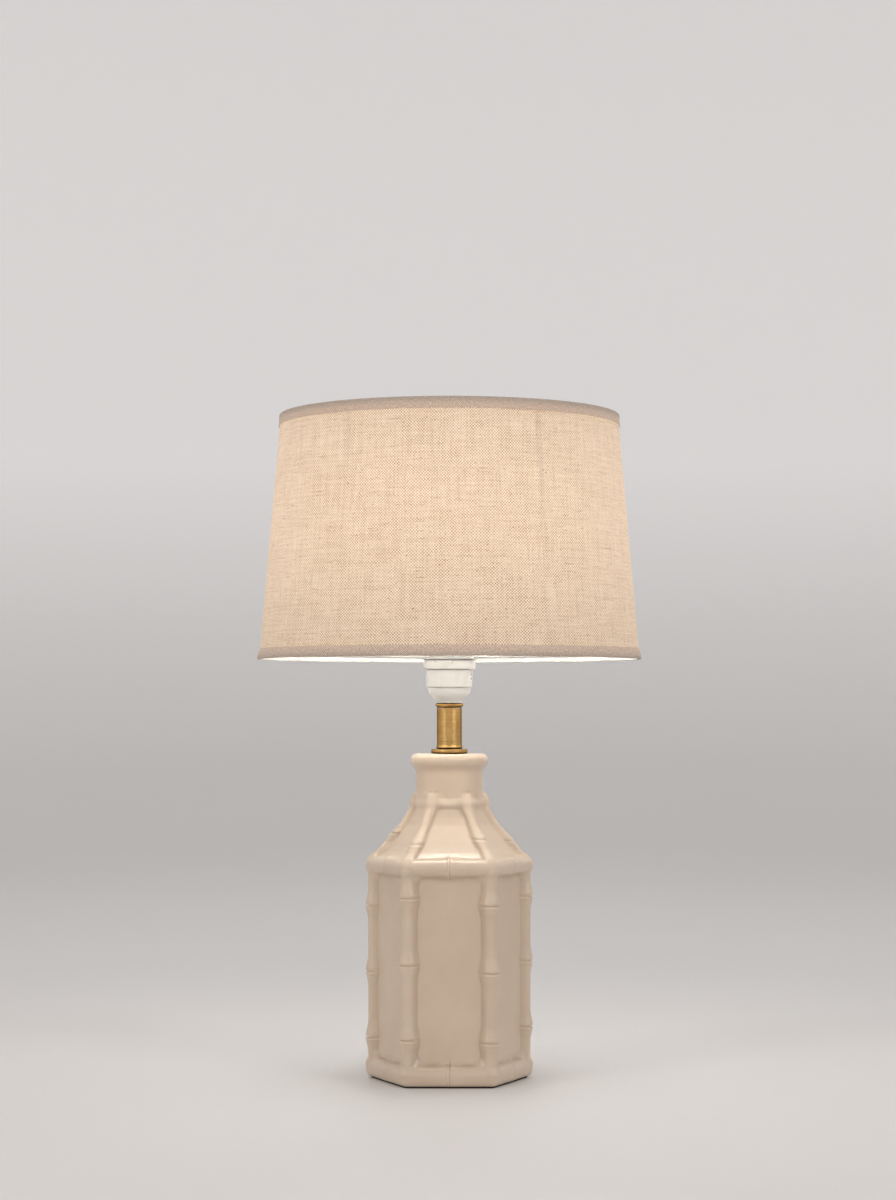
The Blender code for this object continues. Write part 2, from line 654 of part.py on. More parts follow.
def shade(linen, lining, tape, white):
    wire_high = SHADE_TOP_Z - TAPE_THICKNESS - 2 * GAP - 2 * HIGH_WIRE_RADIUS
    wire_low = SHADE_BOTTOM_Z + TAPE_THICKNESS + 2 * GAP + 2 * LOW_WIRE_RADIUS
    cone_shell("shade_fabric", 0.0, CLOTH_THICKNESS, wire_low, wire_high, linen)
    cone_shell("shade_liner", CLOTH_THICKNESS + GAP, LINER_THICKNESS, wire_low, wire_high, lining)
    shade_frame(white)
    low_trim(tape)
    high_trim(tape)


# ---------------------------------------------------------------- bulb

def bulb(glass, plastic, metal, insulator, circuit):
    """LED bulb: opal glass, plastic housing, board, E27 cap with its insulator and tip."""
    tip = [(0.0, BULB_TIP_Z + 0.0012), (0.0048, BULB_TIP_Z + 0.0012), (0.0040, BULB_TIP_Z + 0.0003),
           (0.0020, BULB_TIP_Z), (0.0, BULB_TIP_Z)]
    turned("bulb_tip", tip, metal, 16, closed=False)
    cone = [(0.0, BULB_CAP_Z - GAP), (0.0115, BULB_CAP_Z - GAP), (0.0065, BULB_TIP_Z + 0.0015),
            (0.0, BULB_TIP_Z + 0.0015)]
    turned("bulb_insulator", cone, insulator, 20, closed=False)
    cap = [(0.0, BULB_CAP_Z + 0.0008), (0.0120, BULB_CAP_Z + 0.0008),
           (BULB_CAP_RADIUS - 0.0006, BULB_CAP_TOP_Z), (BULB_CAP_RADIUS, BULB_CAP_TOP_Z),
           (BULB_CAP_RADIUS, BULB_CAP_Z + 0.0008), (0.0122, BULB_CAP_Z), (0.0, BULB_CAP_Z)]
    turned("bulb_cap", cap, metal, 24, closed=False)
    low = BULB_CAP_TOP_Z + GAP
    joint = BULB_GLASS_Z - 0.0180
    turned("bulb_housing", [
        (0.0, low + 0.0020), (0.0120, low + 0.0020), (0.0145, low + 0.0070), (0.0200, joint - 0.0280),
        (0.0246, joint - 0.0120), (0.0252, joint - GAP), (0.0272, joint - GAP), (0.0262, joint - 0.0120),
        (0.0215, joint - 0.0280), (0.0160, low + 0.0060), (0.0142, low), (0.0, low)],
        plastic, 24, closed=False)
    ring("led_board", 0.0020, 0.0235, joint - 0.0080, joint - 0.0064, circuit, 20)
    wall = 0.0012
    start = math.asin((joint - BULB_GLASS_Z) / BULB_GLASS_RADIUS)
    steps = 7
    angles = [math.pi / 2 + (start - math.pi / 2) * i / steps for i in range(steps + 1)]
    outside_radius = BULB_GLASS_RADIUS
    inside_radius = BULB_GLASS_RADIUS - wall
    outside = [(outside_radius * math.cos(a), BULB_GLASS_Z + outside_radius * math.sin(a)) for a in angles]
    inside = [(inside_radius * math.cos(a), BULB_GLASS_Z + inside_radius * math.sin(a)) for a in angles]
    outside[0] = (0.0, BULB_GLASS_Z + outside_radius)
    inside[0] = (0.0, BULB_GLASS_Z + inside_radius)
    inside[-1] = (inside[-1][0], outside[-1][1])
    turned("bulb_glass", outside + list(reversed(inside)), glass, 24, closed=False)


def build():
    clear_scene()
    bpy.context.scene.collection.children.link(LAMP)
    bpy.context.scene.collection.children.link(CUTTERS)
    glaze = material("glaze", (0.62, 0.50, 0.37), 0.35)
    felt = material("felt", (0.03, 0.03, 0.03), 0.95)
    brass = material("antique_brass", (0.50, 0.33, 0.13), 0.32, 1.0)
    steel = material("zinc_steel", (0.62, 0.62, 0.60), 0.35, 1.0)
    rubber = material("rubber", (0.04, 0.04, 0.04), 0.8)
    plastic = material("white_plastic", (0.86, 0.85, 0.82), 0.38)
    beige_plastic = material("beige_plastic", (0.62, 0.52, 0.40), 0.5)
    porcelain = material("porcelain", (0.85, 0.83, 0.78), 0.3)
    white = material("white_coated_wire", (0.85, 0.84, 0.80), 0.4)
    linen = material("linen", (0.72, 0.58, 0.44), 0.9)
    lining = material("white_lining", (0.90, 0.89, 0.85), 0.6)
    tape = material("linen_tape", (0.45, 0.40, 0.34), 0.9)
    glass = material("opal_glass", (0.92, 0.90, 0.84), 0.3)
    black = material("black_insulator", (0.03, 0.03, 0.03), 0.4)
    nickel = material("nickel", (0.70, 0.68, 0.64), 0.25, 1.0)
    circuit = material("circuit_board", (0.80, 0.80, 0.78), 0.5)
    ceramic_body(glaze)
    base_pad(felt)
    cord_bushing(beige_plastic)
    tube_fixings(steel, rubber)
    brass_neck(brass)
    holder_cap(plastic)
    holder_skirt(plastic)
    holder_core(porcelain, brass, steel)
    shade_ring("shade_ring_lower", LOWER_RING_Z, plastic, LOWER_RING_Z + RING_HEIGHT - 0.0020)
    shade_ring("shade_ring_upper", UPPER_RING_Z, plastic, UPPER_RING_Z - 0.0002)
    shade(linen, lining, tape, white)
    bulb(glass, plastic, nickel, black, circuit)


build()
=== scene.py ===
"""Looks of the table lamp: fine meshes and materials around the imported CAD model.

Metres, +Z up, the front faces -Y. Ceramic, brass, lampholder, shade and bulb are rebuilt finely
where they show; small hidden pieces keep their CAD shape and get a finish.
"""
import math

import bmesh
import bpy
import numpy as np
from mathutils import Matrix, Vector


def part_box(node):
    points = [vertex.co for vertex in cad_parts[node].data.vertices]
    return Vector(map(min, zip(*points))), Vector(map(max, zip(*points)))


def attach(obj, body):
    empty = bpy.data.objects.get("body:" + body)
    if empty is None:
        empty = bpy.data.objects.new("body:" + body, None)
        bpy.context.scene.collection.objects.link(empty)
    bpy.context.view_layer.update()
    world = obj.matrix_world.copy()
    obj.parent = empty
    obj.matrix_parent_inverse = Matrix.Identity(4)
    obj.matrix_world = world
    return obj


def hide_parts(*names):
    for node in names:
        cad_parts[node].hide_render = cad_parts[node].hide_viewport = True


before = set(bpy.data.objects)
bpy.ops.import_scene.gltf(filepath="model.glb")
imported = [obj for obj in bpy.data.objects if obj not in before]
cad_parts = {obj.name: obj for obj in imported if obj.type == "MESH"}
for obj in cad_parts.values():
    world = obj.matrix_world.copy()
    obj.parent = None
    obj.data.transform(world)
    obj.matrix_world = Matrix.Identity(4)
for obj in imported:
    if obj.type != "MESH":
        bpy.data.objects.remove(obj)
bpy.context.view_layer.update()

# ---- places read from the frame


def low(node):
    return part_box(node)[0]


def high(node):
    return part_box(node)[1]


def span(node):
    return low(node)[2], high(node)[2]


def radius_of(node):
    return (high(node)[0] - low(node)[0]) / 2


FOOT_Z = low("ceramic_body")[2]
RIM_TOP_Z = high("ceramic_body")[2]
SHADE_BOTTOM_Z = low("trim_bottom")[2]
SHADE_TOP_Z = high("trim_top")[2]
BULB_CENTRE_Z = high("bulb_glass")[2] - radius_of("bulb_glass")

# The shade: the linen's radius at the top of the lower tape, and what it loses per metre of height
LINEN_RADIUS = 0.1715
LINEN_RADIUS_Z = 0.3885
LINEN_TAPER = 0.018 / 0.2015
MEAN_RADIUS = 0.163              # turns angles around the shade into lengths
LINEN_THICKNESS = 0.0007         # and the lining's
LINING_INSET = 0.0011
TAPE_THICKNESS = 0.0007
SEAM_ANGLE = 34                  # degrees to the left of the front
LINING_SEAM_ANGLE = 29           # degrees to the right of it
SPOKE_ANGLES = [math.radians(degrees) for degrees in (90, 210, 330)]
LOW_WIRE = 0.0018                # radii of the two hoops' wires
HIGH_WIRE = 0.0013
BULB_RADIANCE = 70.0

# The ceramic, in metres: axes of the upright canes, and radii of all canes between and at their nodes
SIDE_CORNER_X = 0.0675
FRONT_CORNER_X = 0.0364
FRONT_CORNER_Y = 0.0655
CANE_WAIST = 0.0060
CANE_NODE = 0.0080
RAIL_WAIST = 0.0080              # level canes of the foot and the shoulder
RAIL_NODE = 0.0088
RIB_WAIST = 0.0049               # sloping canes of the shoulder
RIB_NODE = 0.0060
FOOT_RAIL_Z = FOOT_Z + 0.0092
FOOT_DEPTH = 0.0098              # how far the foot canes would reach down if they were not cut flat
SHOULDER_RAIL_Z = 0.1933
COLLAR_Z = 0.2485
COLLAR_CORNER = 0.0297
COLLAR_CANE = 0.0052
COLLAR_FADE = 0.0125             # height over which the collar dies away into the neck
NECK_RADIUS = 0.0304
RIM_RADIUS = 0.0352
WALL = 0.0058
TUBE_HOLE = 0.0053
CORD_HOLE_RADIUS = 0.0060
UPRIGHT_NODES = np.array([       # heights of the three nodes on each upright cane, from +X round
    (0.0465, 0.1060, 0.1645), (0.0390, 0.1030, 0.1640), (0.0430, 0.1085, 0.1680),
    (0.0365, 0.0965, 0.1555), (0.0420, 0.1080, 0.1672), (0.0393, 0.1008, 0.1601),
])
RIB_NODES = (0.2145, 0.2190, 0.2150, 0.2215, 0.2138, 0.2180)
# Height, corner radius and roundness (0 hexagon, 1 circle) of the bare body
BODY = np.array([
    (FOOT_Z, SIDE_CORNER_X, 0.0), (0.1965, SIDE_CORNER_X, 0.0), (0.2015, 0.0655, 0.0),
    (0.2060, 0.0608, 0.0), (0.2110, 0.0560, 0.0), (0.2165, 0.0514, 0.0), (0.2228, 0.0461, 0.0),
    (0.2300, 0.0398, 0.04), (0.2370, 0.0358, 0.15), (0.2440, 0.0327, 0.50), (0.2540, NECK_RADIUS, 1.0),
    (0.2760, NECK_RADIUS, 1.0), (0.2790, 0.0310, 1.0), (0.2815, 0.0325, 1.0), (0.2838, 0.0342, 1.0),
    (0.2862, 0.0351, 1.0), (0.2885, RIM_RADIUS, 1.0), (0.2905, 0.0347, 1.0), (0.2922, 0.0336, 1.0),
    (RIM_TOP_Z, 0.0312, 1.0),
])

# ---- mesh helpers


def new_object(name, data):
    obj = bpy.data.objects.new(name, data)
    bpy.context.scene.collection.objects.link(obj)
    return obj


def place(mesh, body, slot, finish, *nodes):
    """Make a piece of the lamp: it rides a body and stands for CAD nodes; the slot is not used."""
    obj = new_object(mesh.name, mesh)
    mesh.materials.append(finish)
    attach(obj, body)
    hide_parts(*nodes)
    return obj


def smooth(mesh, degrees=40):
    """Shade smooth, but keep the edges that are sharper than an angle."""
    mesh.shade_smooth()
    mesh.set_sharp_from_angle(angle=math.radians(degrees))
    return mesh


def full_turn(sides):
    return np.arange(sides) * 2 * math.pi / sides


def ring(angles, radius, height):
    """Points around the lamp's axis."""
    return np.stack([radius * np.cos(angles), radius * np.sin(angles), np.full(len(angles), height)], axis=1)


def rings_mesh(name, rings, closed=False):
    """Mesh from rings of points, each an array of (x, y, z); closed joins the last to the first."""
    count = len(rings[0])
    points = np.concatenate(rings)
    total = len(rings)
    spans = total if closed else total - 1
    row = np.arange(count)
    after = np.roll(row, -1)
    faces = []
    for index in range(spans):
        lower = index * count
        upper = ((index + 1) % total) * count
        faces.append(np.stack([lower + row, lower + after, upper + after, upper + row], axis=1))
    mesh = bpy.data.meshes.new(name)
    mesh.from_pydata(points.tolist(), [], np.concatenate(faces).tolist())
    return mesh


def finished(work, mesh):
    work.to_mesh(mesh)
    work.free()
    return mesh


def close_ends(mesh, count, rings):
    """Close both ends of a mesh of rings with a fan around a middle point."""
    work = bmesh.new()
    work.from_mesh(mesh)
    work.verts.ensure_lookup_table()
    loops = [[work.verts[start + i] for i in range(count)] for start in (0, (rings - 1) * count)]
    for loop, flip in zip(loops, (True, False)):
        middle = work.verts.new(sum((v.co for v in loop), Vector()) / count)
        for a, b in zip(loop, loop[1:] + loop[:1]):
            work.faces.new((b, a, middle) if flip else (a, b, middle))
    return finished(work, mesh)


def fillet(profile, steps=4):
    """Round the corners of a closed profile of (radius, height, rounding)."""
    rounded = []
    count = len(profile)
    for index, (r, z, size) in enumerate(profile):
        here = Vector((r, z))
        before = Vector(profile[index - 1][:2])
        after = Vector(profile[(index + 1) % count][:2])
        if size <= 0:
            rounded.append(here)
            continue
        back = (before - here).normalized()
        ahead = (after - here).normalized()
        size = min(size, (before - here).length * 0.48, (after - here).length * 0.48)
        start = here + back * size
        end = here + ahead * size
        for step in range(steps + 1):
            t = step / steps
            rounded.append(start * (1 - t) ** 2 + here * 2 * t * (1 - t) + end * t ** 2)
    return rounded


def turned(name, profile, sides=96, steps=4, knurl=None):
    """Turn a closed profile, given down the outer side, about the lamp's axis."""
    angles = full_turn(sides)
    rings = []
    for point in reversed(fillet(profile, steps)):
        radius = point.x if knurl is None else point.x - knurl(angles, point.x, point.y)
        rings.append(ring(angles, radius, point.y))
    return smooth(rings_mesh(name, rings, closed=True))


def solid_turned(name, profile, sides=64, steps=4):
    """Turn an open profile, from the top down its outer side, closed on the axis at both ends."""
    tiny = 0.00005
    points = [Vector((max(p.x, tiny), p.y)) for p in fillet_open(profile, steps)]
    rings = [ring(full_turn(sides), p.x, p.y) for p in reversed(points)]
    return smooth(close_ends(rings_mesh(name, rings), sides, len(rings)))


def fillet_open(profile, steps):
    """Round the corners of an open profile, whose two ends stay sharp."""
    ends = (0, len(profile) - 1)
    return fillet([(r, z, 0 if i in ends else size) for i, (r, z, size) in enumerate(profile)], steps)


def rod(name, start, end, radius, sides=24, bead=0.0):
    """Straight wire with round ends, thicker at both where it is welded on."""
    along = np.array(end) - np.array(start)
    length = float(np.linalg.norm(along))
    direction = along / length
    side = np.cross(direction, (0.0, 0.0, 1.0))
    side /= np.linalg.norm(side)
    up = np.cross(side, direction)
    angles = full_turn(sides)
    stations = [0.0, 0.0004, 0.0012, 0.0024, 0.0040, 0.5 * length, length - 0.0040, length - 0.0024,
                length - 0.0012, length - 0.0004, length]
    rings = []
    for place_along in stations:
        edge = min(place_along, length - place_along)
        swell = radius + bead * math.exp(-((edge - 0.0012) / 0.0014) ** 2)
        if edge < 0.0004:
            swell *= 0.75
        centre = np.array(start) + direction * place_along
        rings.append(centre + swell * (np.outer(np.cos(angles), side) + np.outer(np.sin(angles), up)))
    mesh = close_ends(rings_mesh(name, rings), sides, len(rings))
    work = bmesh.new()
    work.from_mesh(mesh)
    bmesh.ops.recalc_face_normals(work, faces=work.faces)
    finished(work, mesh).shade_smooth()
    return mesh


def cut_with(obj, cutter_mesh):
    """Cut a hole into a piece with a cutter mesh, and apply it."""
    cutter = new_object("cutter", cutter_mesh)
    modifier = obj.modifiers.new("hole", "BOOLEAN")
    modifier.operation = "DIFFERENCE"
    modifier.object = cutter
    bpy.context.view_layer.update()
    evaluated = obj.evaluated_get(bpy.context.evaluated_depsgraph_get())
    mesh = bpy.data.meshes.new_from_object(evaluated)
    finish = obj.data.materials[0]
    obj.modifiers.clear()
    obj.data = mesh
    mesh.materials.clear()
    mesh.materials.append(finish)
    bpy.data.objects.remove(cutter, do_unlink=True)


def bar_mesh(radius, start, end, sides=40):
    """Round bar between two points, for cutting holes."""
    start = Vector(start)
    end = Vector(end)
    work = bmesh.new()
    bmesh.ops.create_cone(work, cap_ends=True, segments=sides, radius1=radius, radius2=radius,
                          depth=(end - start).length)
    turn = Vector((0, 0, 1)).rotation_difference(end - start).to_matrix().to_4x4()
    bmesh.ops.transform(work, matrix=Matrix.Translation((start + end) / 2) @ turn, verts=work.verts)
    return finished(work, bpy.data.meshes.new("bar"))


def block_mesh(size, angle, reach, height, bevel=0.0):
    """Box that stands at an angle around the axis, for cutting slots."""
    work = bmesh.new()
    bmesh.ops.create_cube(work, size=1.0)
    bmesh.ops.scale(work, vec=size, verts=work.verts)
    if bevel:
        bmesh.ops.bevel(work, geom=work.edges[:], offset=bevel, segments=2, affect="EDGES")
    spot = Matrix.Rotation(angle, 4, "Z") @ Matrix.Translation((reach, 0, height))
    bmesh.ops.transform(work, matrix=spot, verts=work.verts)
    return finished(work, bpy.data.meshes.new("block"))


# ---- material helpers


class Shading:
    """Node tree of one material, with short calls for the nodes that are used often."""

    def __init__(self, name):
        self.material = bpy.data.materials.new(name)
        self.material.use_nodes = True
        self.tree = self.material.node_tree
        self.shader = self.tree.nodes["Principled BSDF"]

    def node(self, kind, inputs=None, **settings):
        made = self.tree.nodes.new(kind)
        for key, value in settings.items():
            setattr(made, key, value)
        for key, value in (inputs or {}).items():
            self.put(made.inputs[key], value)
        return made

    def put(self, socket, value):
        if isinstance(value, bpy.types.NodeSocket):
            self.tree.links.new(value, socket)
        elif isinstance(value, (tuple, list)) and len(value) == 3 and socket.type == "RGBA":
            socket.default_value = (*value, 1.0)
        else:
            socket.default_value = value

    def set(self, **inputs):
        """Feed the shader; returns the material, so that a recipe can end with it."""
        for key, value in inputs.items():
            self.put(self.shader.inputs[key.replace("_", " ").title()], value)
        return self.material

    def maths(self, operation, a, b=0.0, c=0.0, clamp=False):
        made = self.node("ShaderNodeMath", {0: a, 1: b, 2: c}, operation=operation, use_clamp=clamp)
        return made.outputs[0]

    def plus(self, a, b):
        return self.maths("ADD", a, b)

    def minus(self, a, b, clamp=False):
        return self.maths("SUBTRACT", a, b, clamp=clamp)

    def times(self, a, b):
        return self.maths("MULTIPLY", a, b)

    def times_plus(self, a, b, c, clamp=False):
        return self.maths("MULTIPLY_ADD", a, b, c, clamp)

    def mix(self, factor, a, b):
        made = self.node("ShaderNodeMix", data_type="RGBA")
        for key, value in (("Factor", factor), ("A", a), ("B", b)):
            self.put(made.inputs[key], value)
        return made.outputs["Result"]

    def ramp(self, value, stops):
        made = self.node("ShaderNodeValToRGB", {"Fac": value})
        ramp = made.color_ramp
        while len(ramp.elements) < len(stops):
            ramp.elements.new(0.5)
        for element, (position, colour) in zip(ramp.elements, stops):
            element.position = position
            element.color = (*colour, 1.0) if isinstance(colour, tuple) else (colour, colour, colour, 1.0)
        return made.outputs["Color"]

    def rise(self, value, start, stop):
        """0 up to one value and 1 beyond another, with a slope between."""
        return self.ramp(value, [(start, 0.0), (stop, 1.0)])

    def fall(self, value, start, stop):
        return self.ramp(value, [(start, 1.0), (stop, 0.0)])

    def spot(self):
        """Place on the object, in metres."""
        return self.node("ShaderNodeTexCoord").outputs["Object"]

    def xyz(self):
        return self.node("ShaderNodeSeparateXYZ", {"Vector": self.spot()}).outputs

    def position(self, scale=(1, 1, 1)):
        return self.node("ShaderNodeMapping", {"Vector": self.spot(), "Scale": scale}).outputs["Vector"]

    def noise(self, vector, scale, detail=3.0, roughness=0.5):
        made = self.node("ShaderNodeTexNoise", {"Vector": vector, "Scale": scale, "Detail": detail,
                                                 "Roughness": roughness})
        return made.outputs["Fac"]

    def bump(self, height, strength, distance, normal=None):
        inputs = {"Height": height, "Strength": strength, "Distance": distance}
        if normal is not None:
            inputs["Normal"] = normal
        return self.node("ShaderNodeBump", inputs).outputs["Normal"]


def glaze():
    """Satin beige glaze, softly mottled, with a painted highlight on ridges and painted shade in creases."""
    s = Shading("glaze")
    spot = s.position()
    cloud = s.noise(spot, 26.0, 4.0, 0.55)
    drift = s.noise(s.position((1.0, 1.0, 0.35)), 90.0, 3.0, 0.5)
    speck = s.noise(spot, 800.0, 2.0, 0.6)
    ridge = s.node("ShaderNodeNewGeometry").outputs["Pointiness"]
    # Painted highlight: lighter where the mesh is pointed, on ridges; painted shade: darker in its creases
    crest = s.rise(ridge, 0.505, 0.560)
    painted_crease_shade = s.fall(ridge, 0.430, 0.495)
    tone = s.mix(s.rise(cloud, 0.32, 0.68), (0.600, 0.468, 0.345), (0.655, 0.522, 0.393))
    tone = s.mix(s.times(drift, 0.25), tone, (0.640, 0.480, 0.375))
    tone = s.mix(s.times(crest, 0.45), tone, (0.780, 0.665, 0.535))
    tone = s.mix(s.times(painted_crease_shade, 0.42), tone, (0.415, 0.305, 0.205))
    fleck = s.fall(speck, 0.27, 0.31)
    tone = s.mix(s.times(fleck, 0.35), tone, (0.44, 0.33, 0.23))
    orange_peel = s.bump(s.noise(spot, 140.0, 2.0, 0.5), 0.14, 0.0010)
    return s.set(base_color=tone, roughness=s.ramp(cloud, [(0.3, 0.33), (0.7, 0.41)]), coat_weight=0.50,
                 coat_roughness=0.19, normal=s.bump(speck, 0.05, 0.0002, orange_peel))


def felt():
    s = Shading("black_felt")
    spot = s.position()
    fuzz = s.noise(spot, 1400.0, 4.0, 0.7)
    return s.set(base_color=s.ramp(fuzz, [(0.3, (0.008, 0.008, 0.008)), (0.7, (0.03, 0.028, 0.026))]),
                 roughness=0.95, normal=s.bump(fuzz, 0.5, 0.0004))


def brass():
    """Antique brass brushed around the axis: fine turning lines, browner patches, dark in its grooves."""
    s = Shading("antique_brass")
    lines = s.noise(s.position((3.0, 3.0, 430.0)), 3.0, 4.0, 0.7)
    patch = s.noise(s.position(), 60.0, 4.0, 0.6)
    tone = s.mix(s.rise(patch, 0.38, 0.68), (0.60, 0.360, 0.125), (0.75, 0.485, 0.190))
    tone = s.mix(s.rise(lines, 0.40, 0.60), s.mix(0.32, tone, (0.22, 0.12, 0.04)), tone)
    height = s.xyz()["Z"]
    for groove in (high("neck_collar")[2], low("neck_collar")[2] + 0.0003, low("neck_tube")[2] + 0.0002,
                   low("neck_flange")[2] + 0.0003):
        beside = s.maths("ABSOLUTE", s.minus(height, groove))
        dark = s.ramp(s.times(beside, 1000.0), [(0.55, 0.92), (1.05, 0.0)])
        tone = s.mix(dark, tone, (0.065, 0.032, 0.012))
    return s.set(base_color=tone, metallic=1.0, roughness=s.ramp(lines, [(0.3, 0.24), (0.7, 0.36)]),
                 specular_tint=(0.32, 0.21, 0.11), normal=s.bump(lines, 0.22, 0.0002))


def plastic(name, colour, roughness=0.46):
    """Moulded plastic with a fine moulded grain and a trace of flow marks."""
    s = Shading(name)
    spot = s.position()
    grain = s.noise(spot, 1100.0, 3.0, 0.6)
    flow = s.noise(s.position((1.0, 1.0, 4.0)), 40.0, 3.0, 0.5)
    darker = tuple(channel * 0.955 for channel in colour)
    return s.set(base_color=s.mix(s.rise(flow, 0.35, 0.7), darker, colour),
                 roughness=s.ramp(grain, [(0.3, roughness - 0.04), (0.7, roughness + 0.06)]),
                 normal=s.bump(grain, 0.08, 0.0002))


def metal(name, colour, roughness):
    s = Shading(name)
    spot = s.position()
    cloud = s.noise(spot, 140.0, 4.0, 0.6)
    darker = tuple(channel * 0.82 for channel in colour)
    return s.set(base_color=s.mix(cloud, darker, colour), metallic=1.0,
                 roughness=s.ramp(cloud, [(0.3, roughness - 0.05), (0.7, roughness + 0.08)]),
                 normal=s.bump(s.noise(spot, 700.0, 2.0), 0.08, 0.0002))


def coated_wire():
    """White powder coat with its slight orange peel."""
    s = Shading("white_coated_wire")
    spot = s.position()
    peel = s.noise(spot, 600.0, 2.0, 0.5)
    tone = s.mix(s.noise(spot, 60.0, 3.0), (0.62, 0.61, 0.585), (0.70, 0.69, 0.665))
    return s.set(base_color=tone, roughness=0.42, normal=s.bump(peel, 0.18, 0.0003))


class Cloth(Shading):
    """Material laid out on the unrolled shade, in metres; the azimuth is measured from the front."""

    def __init__(self, name):
        super().__init__(name)
        x, y, self.z = self.xyz()
        self.azimuth = self.maths("ARCTAN2", x, self.times(y, -1.0))
        self.around = self.times(self.azimuth, MEAN_RADIUS)
        self.flat = self.node("ShaderNodeCombineXYZ", {"X": self.around, "Y": self.z}).outputs["Vector"]

    def stretched(self, scale, detail=3.0, roughness=0.55, offset=0.0):
        """Noise drawn out along the warp or the weft."""
        moved = self.node("ShaderNodeMapping", {"Vector": self.flat, "Location": (offset, offset, 0.0),
                                                "Scale": (*scale, 1.0)})
        return self.noise(moved.outputs["Vector"], 1.0, detail, roughness)

    def thread(self, along, pitch, wander):
        """Wave of threads across a direction, which stray a little from their line."""
        stray = self.times(self.minus(wander, 0.5), 1.6)
        return self.maths("SINE", self.times(self.plus(self.maths("DIVIDE", along, pitch), stray), math.pi))

    def plain_weave(self, pitch):
        """Height of the crossings, which alternate over and under, and of the yarns."""
        warp = self.thread(self.around, pitch, self.stretched((60.0, 9.0)))
        weft = self.thread(self.z, pitch, self.stretched((9.0, 60.0), offset=3.0))
        yarn = self.times(self.plus(self.maths("ABSOLUTE", warp), self.maths("ABSOLUTE", weft)), 0.5)
        return self.times(warp, weft), yarn


def linen():
    """Plain-weave linen with uneven yarns, slubs and its lap seams, which the lamp shines through."""
    s = Cloth("linen")
    over, yarn = s.plain_weave(0.00130)
    strength = s.ramp(s.stretched((70.0, 70.0), 2.0), [(0.30, 0.35), (0.65, 1.0)])
    weave = s.times_plus(s.times(over, strength), 0.85, 0.40)
    weave = s.times_plus(yarn, 0.36, weave)
    upright = s.rise(s.stretched((560.0, 22.0)), 0.34, 0.62)
    level = s.rise(s.stretched((22.0, 560.0), offset=7.0), 0.34, 0.62)
    weave = s.times_plus(s.minus(upright, 0.5), 0.18, weave)
    weave = s.times_plus(s.minus(level, 0.5), 0.18, weave)
    blotch = s.stretched((620.0, 620.0), 2.0, 0.60, 31.0)
    weave = s.times_plus(s.minus(blotch, 0.5), 0.70, weave)
    slub = s.fall(s.stretched((52.0, 760.0), 2.0, 0.5, 13.0), 0.30, 0.355)
    knots = s.fall(s.stretched((420.0, 460.0), 1.0, 0.5, 21.0), 0.27, 0.33)
    weave = s.minus(weave, s.times(slub, 0.36))
    weave = s.minus(weave, s.times(knots, 0.50), clamp=True)
    tone = s.mix(weave, (0.24, 0.165, 0.105), (0.53, 0.44, 0.34))
    s.set(base_color=tone, roughness=0.88, sheen_weight=0.12, sheen_roughness=0.5,
          normal=s.bump(s.plus(yarn, s.times(over, 0.5)), 0.45, 0.0005))
    # The light is 0.68 at 0.1613 m from the middle of the shade, and falls with the distance from there
    offset = s.node("ShaderNodeVectorMath", {0: s.spot(), 1: (0.0, 0.0, 0.50)}, operation="SUBTRACT")
    away = s.node("ShaderNodeVectorMath", {0: offset.outputs[0]}, operation="LENGTH").outputs["Value"]
    power = s.times(s.maths("POWER", s.maths("DIVIDE", 0.1613, away), 1.4), 0.68)
    rosy = s.rise(s.stretched((26.0, 18.0), 3.0), 0.35, 0.70)
    through = s.mix(weave, (0.38, 0.185, 0.092), (1.0, 0.790, 0.570))
    through = s.mix(s.times(rosy, 0.22), through, s.mix(weave, (0.70, 0.44, 0.30), (1.0, 0.76, 0.60)))
    # Both lap seams let less light through, most of all near the top
    for degrees, width, high_up in ((-SEAM_ANGLE, 0.0058, 0.52), (LINING_SEAM_ANGLE + 0.5, 0.0052, 0.47)):
        centre = math.radians(degrees)
        beside = s.maths("ABSOLUTE", s.times(s.minus(s.azimuth, centre), MEAN_RADIUS))
        strip = s.fall(s.maths("DIVIDE", beside, width), 0.45, 0.62)
        top = s.ramp(s.z, [(high_up, 0.25), (0.585, 1.0)])
        power = s.times(power, s.minus(1.0, s.times(s.times(strip, top), 0.17)))
    return s.set(emission_color=through, emission_strength=power)


def tape():
    """Close-woven taupe tape, white inside: lamp light shows faintly through it away from the wire."""
    s = Cloth("linen_tape")
    over, yarn = s.plain_weave(0.00105)
    speckle = s.stretched((560.0, 560.0), 2.0, 0.6, 5.0)
    weave = s.times_plus(over, 0.42, 0.30)
    weave = s.times_plus(yarn, 0.30, weave)
    weave = s.times_plus(s.minus(speckle, 0.5), 1.3, weave, clamp=True)
    x, y, z = s.xyz()
    radius = s.maths("SQRT", s.plus(s.times(x, x), s.times(y, y)))
    middle = s.times_plus(s.minus(z, LINEN_RADIUS_Z), -0.0893, LINEN_RADIUS - LINING_INSET)
    inside = s.rise(s.times_plus(s.minus(middle, radius), 1000.0, 0.5), 0.3, 0.7)
    tone = s.mix(weave, (0.30, 0.235, 0.190), (0.66, 0.555, 0.465))
    tone = s.mix(inside, tone, (0.56, 0.54, 0.50))
    lower = s.rise(z, SHADE_BOTTOM_Z + 0.0010, SHADE_BOTTOM_Z + 0.0062)
    upper = s.fall(z, SHADE_TOP_Z - 0.0062, SHADE_TOP_Z - 0.0010)
    shines = s.times(s.times(lower, upper), s.minus(1.0, inside))
    woven = s.times(s.plus(yarn, over), s.minus(1.0, inside))
    return s.set(base_color=tone, roughness=0.9, sheen_weight=0.15, sheen_roughness=0.5,
                 normal=s.bump(woven, 0.5, 0.0004),
                 emission_color=s.mix(weave, (0.26, 0.13, 0.07), (0.66, 0.45, 0.31)),
                 emission_strength=s.times(shines, 0.42))


